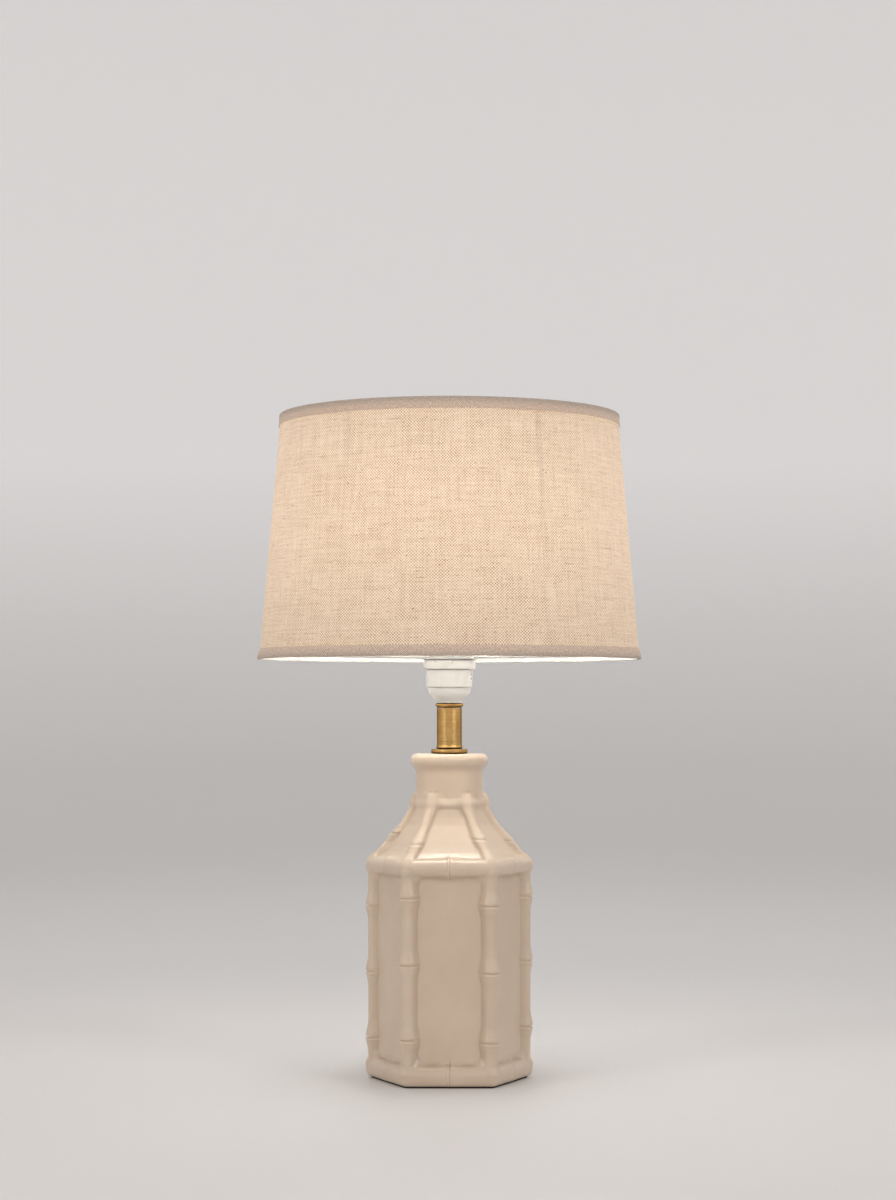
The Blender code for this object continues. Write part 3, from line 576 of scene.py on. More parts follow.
def lining():
    """White laminated lining, smooth and faintly creased."""
    s = Shading("white_lining")
    spot = s.position()
    tone = s.mix(s.noise(spot, 25.0), (0.52, 0.505, 0.475), (0.57, 0.555, 0.525))
    return s.set(base_color=tone, roughness=0.55, normal=s.bump(s.noise(spot, 900.0), 0.10, 0.0002))


def opal_glass():
    """Opal bulb that is switched on."""
    s = Shading("opal_glass")
    speck = s.noise(s.position(), 400.0, 2.0)
    return s.set(base_color=(0.92, 0.90, 0.86), roughness=0.3, emission_color=(1.0, 0.98, 0.92),
                 emission_strength=BULB_RADIANCE, normal=s.bump(speck, 0.02, 0.0001))


# ---- ceramic body


def body_corners():
    x, y = FRONT_CORNER_X, FRONT_CORNER_Y
    return np.array([(SIDE_CORNER_X, 0), (x, y), (-x, y), (-SIDE_CORNER_X, 0), (-x, -y), (x, -y)])


def column_directions():
    """Unit vectors around the axis, close together on the canes and at the middle of each side."""
    corners = body_corners()
    half = FRONT_CORNER_X
    places = np.concatenate([np.arange(0, 0.0108, 0.00072), np.linspace(0.0114, 0.0134, 3),
                             np.linspace(0.0160, half - 0.0040, 5), np.arange(half - 0.0033, half, 0.0006)])
    t = np.concatenate([places, [half], 2 * half - places[:0:-1]]) / (2 * half)
    spots = [start + (end - start) * t[:, None] for start, end in zip(corners, np.roll(corners, -1, axis=0))]
    spots = np.concatenate(spots)
    return spots / np.linalg.norm(spots, axis=1)[:, None], np.tile(t, 6)


def signed_root(value):
    return np.sign(value) * np.sqrt(np.abs(value))


def smooth_max(a, b, blend):
    """Larger of two values, rounded where they cross, which gives the cast fillets."""
    h = np.clip(0.5 + 0.5 * (a - b) / blend, 0, 1)
    return b * (1 - h) + a * h + blend * h * (1 - h)


def miss(centre, direction):
    """How far each direction passes beside a point."""
    return np.abs(direction[:, 0] * centre[1] - direction[:, 1] * centre[0])


def rod_reach(centre, radius, direction):
    """Distance from the axis to the far side of a round rod, falling away steeply beside it."""
    along = direction @ centre
    reach = along + signed_root(radius ** 2 - miss(centre, direction) ** 2)
    return np.where(along > 0, reach, 0.0)


def hexagon_reach(corners, swell, direction):
    """Distance from the axis to the hexagon moved out by a swell, with round corners."""
    best = np.full(np.broadcast(swell, direction[:, 0]).shape, -1.0)
    for start, end in zip(corners, np.roll(corners, -1, axis=0)):
        side = end - start
        length = np.linalg.norm(side)
        normal = np.array([side[1], -side[0]]) / length
        facing = direction @ normal
        reach = (normal @ start + swell) / np.where(facing > 0.05, facing, np.nan)
        along = (reach * (direction @ side) - start @ side) / length ** 2
        best = np.where((along >= 0) & (along <= 1), reach, best)
    corner = np.max([rod_reach(c, swell, direction) for c in corners], axis=0)
    return np.where(best > 0, best, corner)


def bell(distance, width):
    return np.exp(-(distance / width) ** 2)


def cane_radius(place_along, node, waist, swollen, above=0.0150, below=0.0120, detail=1.0):
    """Radius along a cane near a node: a long swell, then a groove, a lip and a faint second line."""
    distance = place_along - node
    part = np.clip(1 - (distance / np.where(distance > 0, above, below)) ** 2, 0, 1)
    radius = waist + (swollen - waist) * part ** 1.5
    groove = -0.00095 * bell(distance, 0.00062) + 0.00038 * bell(distance + 0.0017, 0.0009)
    groove += 0.00030 * bell(distance - 0.0030, 0.0016) - 0.00022 * bell(distance + 0.0072, 0.0007)
    return radius + detail * groove


def half_chord(height, centre, radius, depth=None):
    """Half width of a level cane at a height, fuller below the middle where a depth is given."""
    upper = signed_root(radius ** 2 - (height - centre) ** 2)
    if depth is None:
        return upper
    part = np.clip((centre - height) / depth, 0, 0.999)
    lower = radius * (1 - part ** 3) ** (1 / 3)
    return np.where(height < centre, lower, upper)


def body_heights(fractions):
    """Heights of the grid, as rows by columns: rows crowd around each upright cane's own nodes."""
    quarter = np.linspace(0, math.pi / 2, 12)
    foot = np.concatenate([FOOT_Z + np.array([0, 0.0002, 0.0006, 0.0012, 0.0021, 0.0034, 0.0050, 0.0070]),
                           FOOT_RAIL_Z + RAIL_WAIST * np.sin(quarter)])
    start = foot[-1] + 0.0006
    stop = SHOULDER_RAIL_Z - RAIL_WAIST - 0.0006
    typical = UPRIGHT_NODES.mean(axis=0)
    walls = [start]
    while walls[-1] < stop:
        gap = np.min(np.abs(typical - 0.0006 - walls[-1]))
        walls.append(walls[-1] + (0.00046 if gap < 0.0032 else 0.0011 if gap < 0.0085 else 0.0029))
    walls = np.array([height for height in walls if height < stop])
    half = np.linspace(-math.pi / 2, math.pi / 2, 21)
    shoulder = SHOULDER_RAIL_Z + RAIL_WAIST * np.sin(half)
    slope = np.arange(shoulder[-1] + 0.0006, COLLAR_Z - COLLAR_CANE - 0.0004, 0.00082)
    collar = COLLAR_Z + COLLAR_CANE * np.sin(np.linspace(-math.pi / 2, math.pi / 2, 17))
    neck = np.concatenate([np.linspace(collar[-1] + 0.0007, 0.2640, 9), np.linspace(0.2665, 0.2750, 4)])
    rim = np.linspace(0.2760, RIM_TOP_Z, 24)
    rows = np.concatenate([foot, walls, shoulder, slope, collar, neck, rim])
    heights = np.repeat(rows[:, None], len(fractions), axis=1)
    inside = (rows >= start) & (rows <= stop)
    margin = 0.0040
    knots = np.concatenate([[start], np.ravel([(n - margin, n + margin) for n in typical]), [stop]])
    per_side = len(fractions) // 6
    for column, fraction in enumerate(fractions):
        ease = ease_between(fraction, 0.15, 0.85)
        cane = column // per_side
        local = UPRIGHT_NODES[cane] * (1 - ease) + UPRIGHT_NODES[(cane + 1) % 6] * ease
        places = np.concatenate([[start], np.ravel([(n - margin, n + margin) for n in local]), [stop]])
        heights[inside, column] = np.interp(rows[inside], knots, places)
    return heights


def smooth_table(heights, column):
    """Values of the body's table at heights, eased so that no kink shows."""
    fine = np.linspace(BODY[0, 0], BODY[-1, 0], 1200)
    values = np.interp(fine, BODY[:, 0], BODY[:, column])
    window = np.hanning(15)
    window /= window.sum()
    eased = np.convolve(np.pad(values, 7, mode="edge"), window, mode="valid")
    return np.interp(heights, fine, eased)


def smooth_min(a, b, blend):
    return -smooth_max(-a, -b, blend)


def panel_edge(z, direction, corners, radii, rail_radius):
    """Distance inside a wall panel from the canes around it, with the panel's corners rounded."""
    beside = np.full_like(z, 1.0)
    for centre, radius in zip(corners, radii):
        near = np.where((direction @ centre)[None, :] > 0, miss(centre, direction)[None, :] - radius, 1.0)
        beside = np.minimum(beside, near)
    below = SHOULDER_RAIL_Z - rail_radius - z
    above = z - FOOT_RAIL_Z - rail_radius
    return smooth_min(beside, smooth_min(below, above, 0.001), 0.0110)


def ease_between(value, start, stop):
    part = np.clip((value - start) / (stop - start), 0, 1)
    return part * part * (3 - 2 * part)


def body_reach(z, direction, fractions):
    """Distance from the axis to the relief, for every height and direction."""
    corners = body_corners()
    corner_radius = smooth_table(z, 1)
    roundness = smooth_table(z, 2)
    unit = hexagon_reach(corners, 0.0, direction)[None, :] / SIDE_CORNER_X
    body = corner_radius * (unit * (1 - roundness) + roundness)
    # Upright canes
    upright = np.zeros_like(body)
    radii = []
    for centre, nodes in zip(corners, UPRIGHT_NODES):
        smooth = np.max([cane_radius(z, node, CANE_WAIST, CANE_NODE, detail=0.0) for node in nodes], axis=0)
        grooves = np.sum([cane_radius(z, node, 0.0, 0.0) for node in nodes], axis=0)
        radii.append(smooth)
        upright = np.maximum(upright, rod_reach(centre, smooth + grooves, direction))
    upright = np.where((z > FOOT_RAIL_Z) & (z < SHOULDER_RAIL_Z), upright, 0.0)
    # Level canes of the foot and the shoulder, each with a double line at the middle of every side
    along = (fractions - 0.5) * 2 * FRONT_CORNER_X
    rail_radius = cane_radius(along, 0.0, RAIL_WAIST, RAIL_NODE, 0.013, 0.013, detail=0.0)
    rail_radius = rail_radius - 0.00075 * bell(along - 0.0004, 0.00055)
    rail_radius = rail_radius - 0.00035 * bell(along + 0.0024, 0.0006)
    rail_radius = (rail_radius + 0.00025 * bell(along + 0.0010, 0.0007))[None, :]
    foot = hexagon_reach(corners, half_chord(z, FOOT_RAIL_Z, rail_radius, FOOT_DEPTH), direction)
    shoulder = hexagon_reach(corners, half_chord(z, SHOULDER_RAIL_Z, rail_radius), direction)
    foot = np.where(np.abs(z - FOOT_RAIL_Z) < 0.0125, foot, 0.0)
    shoulder = np.where(np.abs(z - SHOULDER_RAIL_Z) < 0.0125, shoulder, 0.0)
    relief = smooth_max(upright, np.maximum(foot, shoulder), 0.0060)
    edge = panel_edge(z, direction, corners, radii, rail_radius)
    wall = (z > FOOT_RAIL_Z) & (z < SHOULDER_RAIL_Z)
    channel = -0.00075 * bell(edge - 0.0007, 0.0008) + 0.00055 * bell(edge - 0.0025, 0.0008)
    foot_of_fillet = 0.0011 * np.clip(1 - edge / 0.0024, 0, 1) ** 2
    depth = 1 - np.clip(-edge / 0.0050, 0, 1)
    fill = 0.0011 + 0.0039 * np.sqrt(1 - depth ** 2)
    body = body + np.where(wall, np.where(edge < 0, fill, channel + foot_of_fillet), 0.0)
    # Sloping canes of the shoulder, which end in a soft tip above the collar and one on the rail
    rib = np.zeros_like(body)
    for centre, node in zip(corners, RIB_NODES):
        radius = cane_radius(z, node, RIB_WAIST, RIB_NODE, 0.0105, 0.0095, detail=1.0)
        radius = radius + 0.0016 * (1 - ease_between(z, 0.1980, 0.2070))
        wide = 1 + 0.42 * ease_between(z, 0.2350, 0.2480)
        top = np.clip((z - (COLLAR_Z - 0.0025)) / 0.0130, 0, 1)
        bottom = np.clip((0.1965 - z) / 0.0060, 0, 1)
        radius = radius * np.sqrt(np.clip(1 - np.maximum(top, bottom) ** 2, 0, 1))
        out = np.where(z < 0.2015, 0.0655 + (0.2015 - z) * 0.30, corner_radius) / SIDE_CORNER_X
        axis_reach = (direction @ centre)[None, :] * out
        across = miss(centre, direction)[None, :] * out / wide
        reach = axis_reach + (1.05 / wide ** 0.5) * signed_root(radius ** 2 - across ** 2) - 0.0002
        rib = np.maximum(rib, np.where((axis_reach > 0) & (radius > 0), reach, 0.0))
    rib = np.where((z > 0.1890) & (z < COLLAR_Z + 0.0135), rib, 0.0)
    # Ring of short canes around the foot of the neck
    small = corners * (COLLAR_CORNER / SIDE_CORNER_X)
    fade_height = COLLAR_FADE * (0.50 + 0.50 * np.abs(2 * fractions - 1))
    fade = np.clip((z - COLLAR_Z) / fade_height[None, :], 0, 1)
    above = COLLAR_CANE * 0.5 * (1 + np.cos(math.pi * fade))
    swell = 0.88 * np.where(fade > 0, above, half_chord(z, COLLAR_Z, COLLAR_CANE))
    collar = hexagon_reach(small, swell, direction) - 0.0050 * fade ** 3
    collar = np.where((z > COLLAR_Z - COLLAR_CANE - 0.008) & (fade < 1), collar, 0.0)
    soft_above = 0.0018 + 0.0034 * ease_between(z, SHOULDER_RAIL_Z, SHOULDER_RAIL_Z + 0.006)
    reach = smooth_max(body, relief, soft_above)
    bare_foot = z <= FOOT_RAIL_Z
    reach = np.where(bare_foot, np.maximum(body, foot), reach)
    collar_blend = 0.0010 + 0.0030 * ease_between(z, COLLAR_Z - 0.001, COLLAR_Z + 0.004)
    reach = smooth_max(reach, collar, collar_blend)
    rib_blend = 0.0030 + 0.0040 * ease_between(z, COLLAR_Z - 0.004, COLLAR_Z + 0.003)
    return smooth_max(reach, rib, rib_blend)


def hollow_rings(direction):
    """Rings of the inside: over the rim, down the tube's hole, and through the hollow to the foot."""
    unit = hexagon_reach(body_corners(), 0.0, direction) / SIDE_CORNER_X
    plate_z = RIM_TOP_Z - 0.0085
    rounds = [(radius, RIM_TOP_Z) for radius in (0.026, 0.020, 0.0145, 0.010, 0.0070, TUBE_HOLE)]
    rounds += [(TUBE_HOLE, height) for height in (RIM_TOP_Z - 0.003, RIM_TOP_Z - 0.006, plate_z)]
    rounds += [(0.012, plate_z), (0.018, plate_z)]
    hollow = [(plate_z, 0.0306, 1.0), (0.256, 0.0306, 1.0), (0.240, 0.034, 0.5), (0.216, 0.050, 0.0),
              (0.200, 0.064, 0.0)]
    hollow += [(height, SIDE_CORNER_X, 0.0) for height in (0.190, 0.100, 0.030, FOOT_Z)]
    rings = [(np.full(len(direction), radius), height) for radius, height in rounds]
    return rings + [(corner_radius * (unit * (1 - roundness) + roundness) - WALL, height)
                    for height, corner_radius, roundness in hollow]


def ceramic_body(finish):
    direction, fractions = column_directions()
    heights = body_heights(fractions)
    reach = body_reach(heights, direction, fractions)
    rings = [np.column_stack([direction * row[:, None], height]) for row, height in zip(reach, heights)]
    for row, height in hollow_rings(direction):
        rings.append(np.column_stack([direction * row[:, None], np.full(len(row), height)]))
    mesh = rings_mesh("lamp_base", rings, closed=True)
    base = place(mesh, "base", "glaze", finish, "ceramic_body")
    hole_z = sum(span("cord_bushing")) / 2
    cut_with(base, bar_mesh(CORD_HOLE_RADIUS, (0, 0.050, hole_z), (0, 0.090, hole_z)))
    smooth(base.data, 60)


# ---- neck and lampholder


def brass_neck(finish):
    """Foot, tube and collar, turned around the threaded tube."""
    bore = TUBE_HOLE
    z0, z1 = span("neck_flange")
    outer = radius_of("neck_flange")
    place(turned("brass_flange", [
        (outer - 0.0001, z1, 0.0009), (outer, z0 + 0.0003, 0.0006), (outer - 0.0012, z0, 0.0004),
        (bore, z0, 0), (bore, z1, 0)], 128), "base", "antique_brass", finish, "neck_flange")
    z0, z1 = span("neck_tube")
    place(turned("brass_tube", [
        (0.0113, z1, 0.0003), (0.0113, z0 + 0.0030, 0.0005), (0.0118, z0 + 0.0020, 0.0006),
        (0.0118, z0 + 0.0006, 0.0005), (0.0111, z0, 0.0002), (bore, z0, 0), (bore, z1, 0)], 128),
        "base", "antique_brass", finish, "neck_tube")
    z0, z1 = span("neck_collar")
    outer = radius_of("neck_collar")
    place(turned("brass_collar", [
        (0.0114, z1, 0.0003), (outer, z1 - 0.0016, 0.0005), (outer, z1 - 0.0020, 0.0004),
        (0.0115, z0 + 0.0010, 0.0003), (0.0109, z0, 0.0003), (bore, z0, 0), (bore, z1, 0)], 128),
        "base", "antique_brass", finish, "neck_collar")


def lampholder(finish):
    """Rounded cap, then the skirt: a drum with two small slots, and above it the thread of the rings."""
    bore = TUBE_HOLE
    z0, z1 = span("holder_cap")
    cap = place(turned("lampholder_cap", [
        (0.0197, z1, 0.0003), (0.0195, 0.3512, 0.0010), (0.0187, 0.3484, 0.0014), (0.0172, 0.3462, 0.0014),
        (0.0150, 0.3441, 0.0012), (0.0128, 0.3424, 0.0008), (0.0112, 0.3414, 0.0001),
        (0.0112, 0.3408, 0.0001), (0.0120, 0.3406, 0.0003), (0.0120, z0, 0.0003), (bore, z0, 0),
        (bore, 0.3472, 0), (0.0162, 0.3472, 0), (0.0176, 0.3500, 0), (0.0178, z1, 0)], 128),
        "base", "white_plastic", finish, "holder_cap")
    cut_with(cap, bar_mesh(0.0018, (0, 0.003, 0.3444), (0, 0.030, 0.3444), 24))
    z0, z1 = span("holder_skirt")
    drum = radius_of("holder_skirt")
    thread = 0.0196
    drum_top = 0.3697
    root = thread - 0.0008
    pitch = 0.0020
    outline = [(root, z1, 0.0004)]
    for index in range(int((z1 - drum_top - 0.001) / pitch)):
        crest = z1 - 0.0012 - index * pitch
        outline += [(thread, crest, 0.0003), (thread, crest - 0.0006, 0.0003), (root, crest - 0.0012, 0.0003)]
    outline += [
        (root, drum_top, 0.0002), (drum - 0.0002, drum_top, 0.0004), (drum, drum_top - 0.0010, 0.0004),
        (drum, z0 + 0.0008, 0.0004), (drum - 0.0004, z0, 0.0003), (0.0181, z0, 0), (0.0181, z1 - 0.0022, 0),
        (0.0154, z1 - 0.0022, 0), (0.0154, 0.3790, 0), (0.0139, 0.3790, 0.0002), (0.0139, z1, 0.0005)]
    skirt = place(turned("lampholder_skirt", outline, 128), "base", "white_plastic", finish,
                  "holder_skirt")
    for height in (0.3616, 0.3651):
        cut_with(skirt, block_mesh((0.0026, 0.0042, 0.0017), math.radians(-20), drum, height, bevel=0.0003))
    for obj in (cap, skirt):
        smooth(obj.data)


def shade_rings(finish):
    """The two threaded rings: the lower one has its grip notches at the top, the upper one below."""
    count = 9
    phase = math.radians(83)
    bore = 0.0199
    for node, body, top_notches in (("shade_ring_lower", "lower_ring", True),
                                    ("shade_ring_upper", "upper_ring", False)):
        z0, z1 = span(node)
        outer = radius_of(node)

        def knurl(angles, radius, height):
            if radius < outer - 0.0012:
                return np.zeros_like(angles)
            from_edge = (z1 - height) if top_notches else (height - z0)
            depth = 0.0013 * min(max((0.0030 - from_edge) / 0.0008, 0.0), 1.0)
            return depth * np.clip(5.0 * np.cos((angles + phase) * count) - 4.1, 0, 1)

        outline = [(outer - 0.0002, z1, 0.0005), (outer, z1 - 0.0024, 0), (outer, z1 - 0.0031, 0),
                   (outer, z0 + 0.0031, 0), (outer, z0 + 0.0024, 0), (outer - 0.0002, z0, 0.0005),
                   (bore, z0, 0.0004), (bore, z1, 0.0004)]
        place(turned(f"{body}_piece", outline, 360, knurl=knurl), body, "white_plastic", finish,
              node)


def bushing(finish):
    """Grommet in the cord hole, turned about the hole's axis."""
    back_y = high("cord_bushing")[1]
    length = back_y - low("cord_bushing")[1]
    flange = radius_of("cord_bushing")
    face = 0.0018
    mesh = turned("cord_grommet", [
        (flange - 0.0006, face, 0.0008), (flange, 0.0, 0.0003), (0.0057, 0.0, 0),
        (0.0057, face - length, 0.0004), (0.0036, face - length, 0.0003), (0.0036, face, 0.0010)], 64)
    middle_z = sum(span("cord_bushing")) / 2
    mesh.transform(Matrix.Translation((0, back_y - face, middle_z)) @ Matrix.Rotation(-math.pi / 2, 4, "X"))
    place(mesh, "base", "beige_plastic", finish, "cord_bushing")


# ---- shade


def cloth_radius(height):
    """Outside of the linen, which tapers straight."""
    return LINEN_RADIUS - LINEN_TAPER * (height - LINEN_RADIUS_Z)


def lap(angles, centre, width, rise):
    """Rise of a glued lap seam: a step up on one side that dies away on the other."""
    away = (angles - centre + math.pi) % (2 * math.pi) - math.pi
    distance = away * MEAN_RADIUS
    step = 1 / (1 + np.exp(-(distance + width / 2) / 0.00025))
    fade = 1 / (1 + np.exp((distance - width / 2) / 0.0012))
    return rise * step * fade


def shell(name, inset, seam_angle, seam_rise, wave):
    """Tapered sheet with its lap seam, as a closed thin shell."""
    z0, z1 = span("shade_fabric")
    angles = full_turn(360)
    seam = lap(angles, seam_angle, 0.0090, seam_rise)
    ripple = wave * (0.00010 * np.sin(angles * 9 + 0.6) + 0.00007 * np.sin(angles * 17 + 2.0))
    heights = np.linspace(z0, z1, 40)
    rings = [ring(angles, cloth_radius(height) - inset + seam + ripple, height) for height in heights]
    rings += [ring(angles, cloth_radius(height) - inset - LINEN_THICKNESS + ripple, height)
              for height in reversed(heights)]
    return smooth(rings_mesh(name, rings, closed=True), 50)


def shade_cloth(outer_finish, lining_finish):
    front = -math.pi / 2
    fabric = place(shell("shade_linen", 0.0, front - math.radians(SEAM_ANGLE), 0.00035, 1.0),
                   "shade", "linen", outer_finish, "shade_fabric")
    liner = place(shell("shade_lining", LINING_INSET, front + math.radians(LINING_SEAM_ANGLE), 0.0, 0.0),
                  "shade", "white_lining", lining_finish, "shade_liner")


def tape_profile(points, thickness, steps=5):
    """Closed profile of a tape that follows a path of (radius, height), with rounded bends."""
    path = fillet_open([(r, z, bend) for r, z, bend in points], steps)
    path = [p for i, p in enumerate(path) if i == 0 or (p - path[i - 1]).length > 1e-6]
    outer = []
    for index, here in enumerate(path):
        before = path[max(index - 1, 0)]
        after = path[min(index + 1, len(path) - 1)]
        tangent = (after - before).normalized()
        outer.append(here + Vector((-tangent.y, tangent.x)) * thickness)
    return [(p.x, p.y, 0) for p in outer] + [(p.x, p.y, 0) for p in reversed(path)]


def trims(finish):
    """Tapes folded around the two hoops and over both sides of the cloth's edges."""
    thick = TAPE_THICKNESS
    gap = 0.0003
    lower = SHADE_BOTTOM_Z
    hoop_r = radius_of("bottom_hoop") - LOW_WIRE
    outside = hoop_r + LOW_WIRE + gap
    inside = hoop_r - LOW_WIRE - gap
    top = high("trim_bottom")[2]
    outer_top = cloth_radius(top) + gap
    inner_top = cloth_radius(top) - 0.0016 - 2 * gap
    path = [(outer_top, top, 0), (outside, lower + 0.0034, 0.0020), (outside, lower + thick, 0.0012),
            (inside, lower + thick, 0.0012), (inside, lower + 0.0034, 0.0020), (inner_top, top, 0)]
    trim = place(turned_tape("lower_trim", tape_profile(path, -thick)), "shade", "linen_tape", finish,
                 "trim_bottom")
    slits(trim, lower, hoop_r)
    upper = SHADE_TOP_Z
    bottom = low("trim_top")[2]
    hoop_r = radius_of("top_hoop") - HIGH_WIRE
    outside = hoop_r + HIGH_WIRE + gap
    inside = hoop_r - HIGH_WIRE - gap
    outer_low = cloth_radius(bottom) + gap
    inner_low = cloth_radius(bottom) - 0.0016 - 2 * gap
    path = [(inner_low, bottom, 0), (inside, upper - 0.0036, 0.0018), (inside, upper - thick, 0.0009),
            (outside, upper - thick, 0.0009), (outside, upper - 0.0036, 0.0018), (outer_low, bottom, 0)]
    trim = place(turned_tape("upper_trim", tape_profile(path, thick)[::-1]), "shade", "linen_tape", finish,
                 "trim_top")


def turned_tape(name, profile):
    return smooth(turned(name, profile, 360, steps=1), 60)


def slits(trim, lower, hoop_r):
    """Open the inner leg of the lower tape where the three spokes pass."""
    for angle in SPOKE_ANGLES:
        cut_with(trim, block_mesh((0.0200, 0.0046, 0.0125), angle, hoop_r - 0.0104, lower + 0.00125))
    smooth(trim.data, 60)


def wire_frame(finish):
    """Fitter ring, spokes with weld beads, and the two hoops."""
    z0, z1 = span("fitter_ring")
    outer = radius_of("fitter_ring")
    bore = 0.0202
    outline = [(outer, z1, 0.0005), (outer, z0, 0.0005), (bore, z0, 0.0004), (bore, z1, 0.0004)]
    place(turned("fitter_plate", outline, 96), "shade", "white_coated_wire", finish, "fitter_ring")
    hoop_r = radius_of("bottom_hoop") - LOW_WIRE
    hoop_z = low("bottom_hoop")[2] + LOW_WIRE
    for index, angle in enumerate(SPOKE_ANGLES):
        direction = Vector((math.cos(angle), math.sin(angle), 0))
        start = direction * (outer + 0.0003) + Vector((0, 0, z1 + 0.0006))
        end = direction * (hoop_r - 0.0024) + Vector((0, 0, hoop_z + 0.0004))
        name = f"fitter_wire_{index + 1}"
        place(rod(name, start, end, 0.0015, bead=0.0004), "shade", "white_coated_wire", finish,
              f"fitter_spoke_{index + 1}")
    for node, wire in (("bottom_hoop", LOW_WIRE), ("top_hoop", HIGH_WIRE)):
        middle = sum(span(node)) / 2
        ring_radius = radius_of(node) - wire
        outline = [(ring_radius + wire * math.cos(a), middle + wire * math.sin(a), 0)
                   for a in np.linspace(0, -2 * math.pi, 12, endpoint=False)]
        place(turned(f"{node}_wire", outline, 240), "shade", "white_coated_wire", finish, node)


# ---- bulb


def bulb(glass, housing, nickel, black):
    centre_z = BULB_CENTRE_Z
    ball = radius_of("bulb_glass")
    seam_z = low("bulb_glass")[2]
    wall = 0.0012
    outer_start = math.asin((seam_z - centre_z) / ball)
    outer_angles = np.linspace(math.pi / 2, outer_start, 22)
    inner_angles = np.linspace(outer_start, math.pi / 2, 16)
    outside = [(ball * math.cos(a), centre_z + ball * math.sin(a), 0) for a in outer_angles]
    inside = [((ball - wall) * math.cos(a), centre_z + (ball - wall) * math.sin(a), 0) for a in inner_angles]
    inside[0] = (inside[0][0], seam_z, 0)
    place(solid_turned("bulb_ball", outside + inside, 72), "bulb", "opal_glass", glass, "bulb_glass")
    z0, z1 = span("bulb_housing")
    place(solid_turned("bulb_body", [
        (0.0, z0 + 0.0020, 0), (0.0120, z0 + 0.0020, 0), (0.0145, z0 + 0.0070, 0.001),
        (0.0200, z1 - 0.0280, 0.004), (0.0246, z1 - 0.0120, 0.004), (0.0252, z1, 0), (0.0272, z1, 0.0004),
        (0.0262, z1 - 0.0120, 0.005), (0.0215, z1 - 0.0280, 0.006), (0.0160, z0 + 0.0060, 0.003),
        (0.0142, z0, 0.0006), (0.0, z0, 0)], 72),
        "bulb", "white_plastic", housing, "bulb_housing")
    z0, z1 = span("bulb_cap")
    radius = radius_of("bulb_cap")
    outline = [(0.0, z0 + 0.0008, 0), (0.0112, z0 + 0.0008, 0), (radius - 0.0012, z1, 0),
               (radius, z1, 0.0003)]
    pitch = 0.0036
    crest = z1 - 0.0050
    while crest > z0 + 0.0020:
        outline += [(radius - 0.0008, crest + 0.0016, 0.0006), (radius, crest, 0.0008)]
        crest -= pitch
    outline += [(0.0120, z0, 0.0006), (0.0, z0, 0)]
    place(solid_turned("bulb_thread", outline, 64), "bulb", "nickel", nickel, "bulb_cap")
    finish_node("bulb_insulator", black)
    finish_node("bulb_tip", nickel)


def finish_node(name, finish):
    """Give a small CAD node that keeps its shape a better material."""
    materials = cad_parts[name].data.materials
    materials.clear()
    materials.append(finish)


# ---- stage


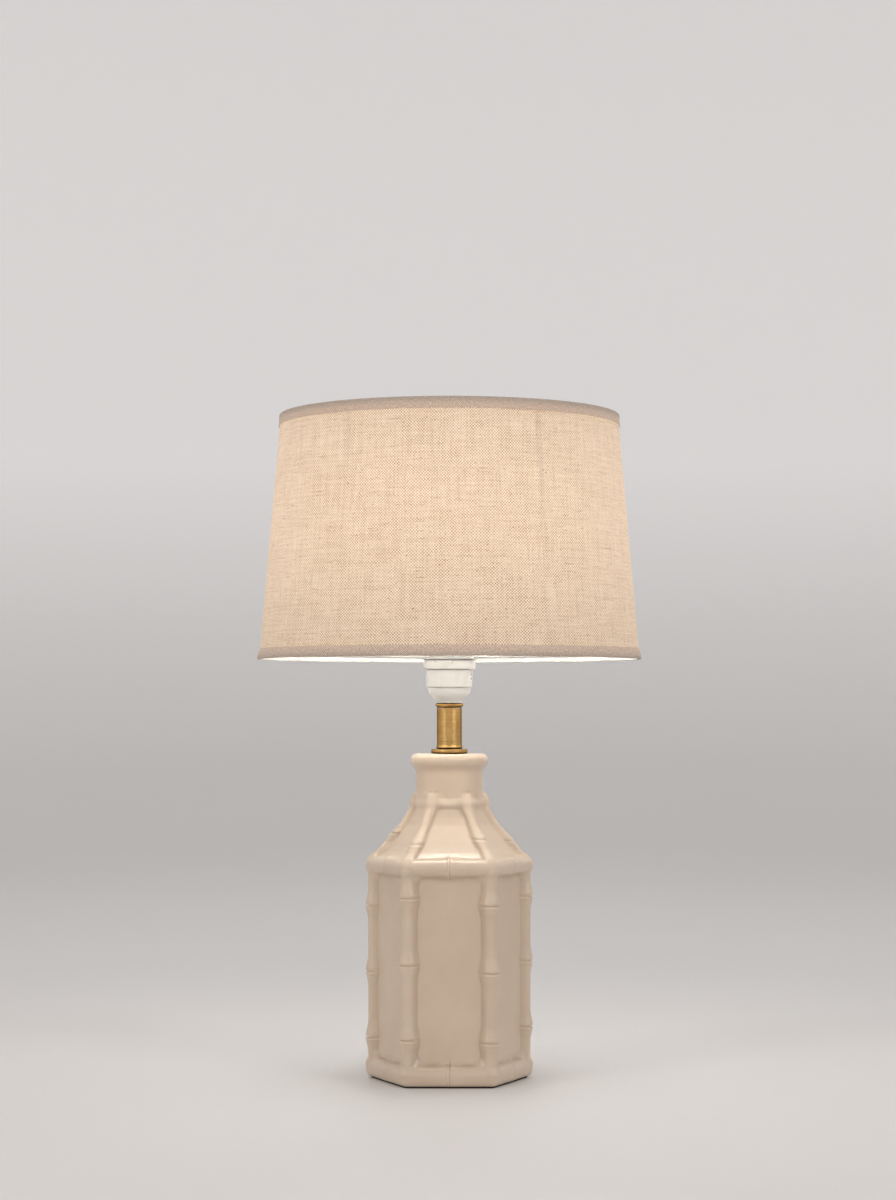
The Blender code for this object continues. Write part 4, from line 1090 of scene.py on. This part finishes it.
def stage():
    """Pale round studio: a floor that curves up into a far wall, with soft lights above."""
    outline = ((0.001, 0.0), (2.6, 0.0), (3.2, 0.04), (3.8, 0.18), (4.4, 0.5), (4.8, 1.1), (5.0, 2.0),
               (5.05, 3.6))
    mesh = rings_mesh("studio", [ring(full_turn(96), radius, height) for radius, height in outline])
    mesh.shade_smooth()
    s = Shading("studio_paper")
    fleck = s.noise(s.position(), 3.0, 3.0)
    # Higher up, the wall is painted paler and glows: painted light on the backdrop, which also lights the
    # scene
    rise = s.rise(s.xyz()["Z"], 0.02, 1.0)
    paper = s.mix(fleck, (0.735, 0.710, 0.690), (0.755, 0.730, 0.710))
    s.set(base_color=s.mix(rise, paper, (0.93, 0.92, 0.91)), roughness=0.60,
          emission_color=(1.0, 0.975, 0.95), emission_strength=s.times(rise, 0.17))
    mesh.materials.append(s.material)
    new_object("studio", mesh)
    world = bpy.data.worlds.new("soft_world")
    world.use_nodes = True
    sky = world.node_tree.nodes["Background"].inputs
    sky["Color"].default_value = (0.97, 0.97, 1.0, 1.0)
    sky["Strength"].default_value = 0.41
    bpy.context.scene.world = world
    warm_white = (1.0, 0.98, 0.96)
    area_light("left", (-1.9, -1.7, 1.2), 0.5, 11.0, warm_white)
    area_light("right", (1.8, -1.7, 1.1), 0.5, 9.0, (0.98, 0.98, 1.0))
    area_light("front", (0.0, -3.2, 1.6), 1.2, 4.5, warm_white)
    area_light("back", (0.0, 2.6, 2.2), 1.6, 6.5, warm_white)
    area_light("above", (0.3, 0.3, 2.8), 2.2, 14.5, (1.0, 0.99, 0.97))
    # The light that leaves the shade's mouth and falls on the lampholder and the ceramic
    glow = area_light("shade_glow", (0.0, 0.0, SHADE_BOTTOM_Z - 0.001), 0.32, 0.08, (1.0, 0.93, 0.82))
    glow.visible_camera = False


def area_light(name, spot, size, power, colour):
    """Round soft light that points at the middle of the lamp."""
    light = bpy.data.lights.new(name, "AREA")
    light.shape = "DISK"
    light.size = size
    light.energy = power
    light.color = colour
    obj = new_object(name, light)
    obj.location = spot
    aim = Vector((0, 0, 0.3)) - Vector(spot)
    obj.rotation_euler = aim.to_track_quat("-Z", "Y").to_euler()
    return obj


def camera():
    """Level view from the front, raised in its frame by a lens shift."""
    data = bpy.data.cameras.new("camera")
    data.lens = 77.0
    data.sensor_width = 36.0
    data.shift_y = 0.09
    obj = new_object("camera", data)
    obj.location = (-0.0012, -2.33, 0.335)
    obj.rotation_euler = (math.pi / 2, 0, 0)
    bpy.context.scene.camera = obj


# ---- the lamp

camera()
stage()
bpy.context.scene.view_settings.view_transform = "Standard"

white = plastic("white_plastic", (0.835, 0.81, 0.78))
brass_finish = brass()
steel = metal("zinc_steel", (0.62, 0.62, 0.60), 0.36)
nickel = metal("nickel", (0.70, 0.67, 0.62), 0.28)
black = plastic("black_insulator", (0.03, 0.03, 0.03), 0.4)

ceramic_body(glaze())
finish_node("base_pad", felt())
bushing(plastic("beige_plastic", (0.50, 0.41, 0.31), 0.5))
for node in ("threaded_tube", "steel_washer", "lock_washer", "tube_nut", "holder_lock_screw"):
    finish_node(node, steel)
finish_node("rubber_washer", plastic("black_rubber", (0.04, 0.04, 0.04), 0.7))
for node in ("terminal_screw_1", "terminal_screw_2", "centre_contact", "side_contact"):
    finish_node(node, brass_finish)
finish_node("holder_insert", plastic("porcelain", (0.82, 0.80, 0.75), 0.3))
brass_neck(brass_finish)
lampholder(white)
shade_rings(white)
wire_frame(coated_wire())
shade_cloth(linen(), lining())
trims(tape())
bulb(opal_glass(), white, nickel, black)
finish_node("led_board", plastic("circuit_board", (0.78, 0.78, 0.75), 0.45))
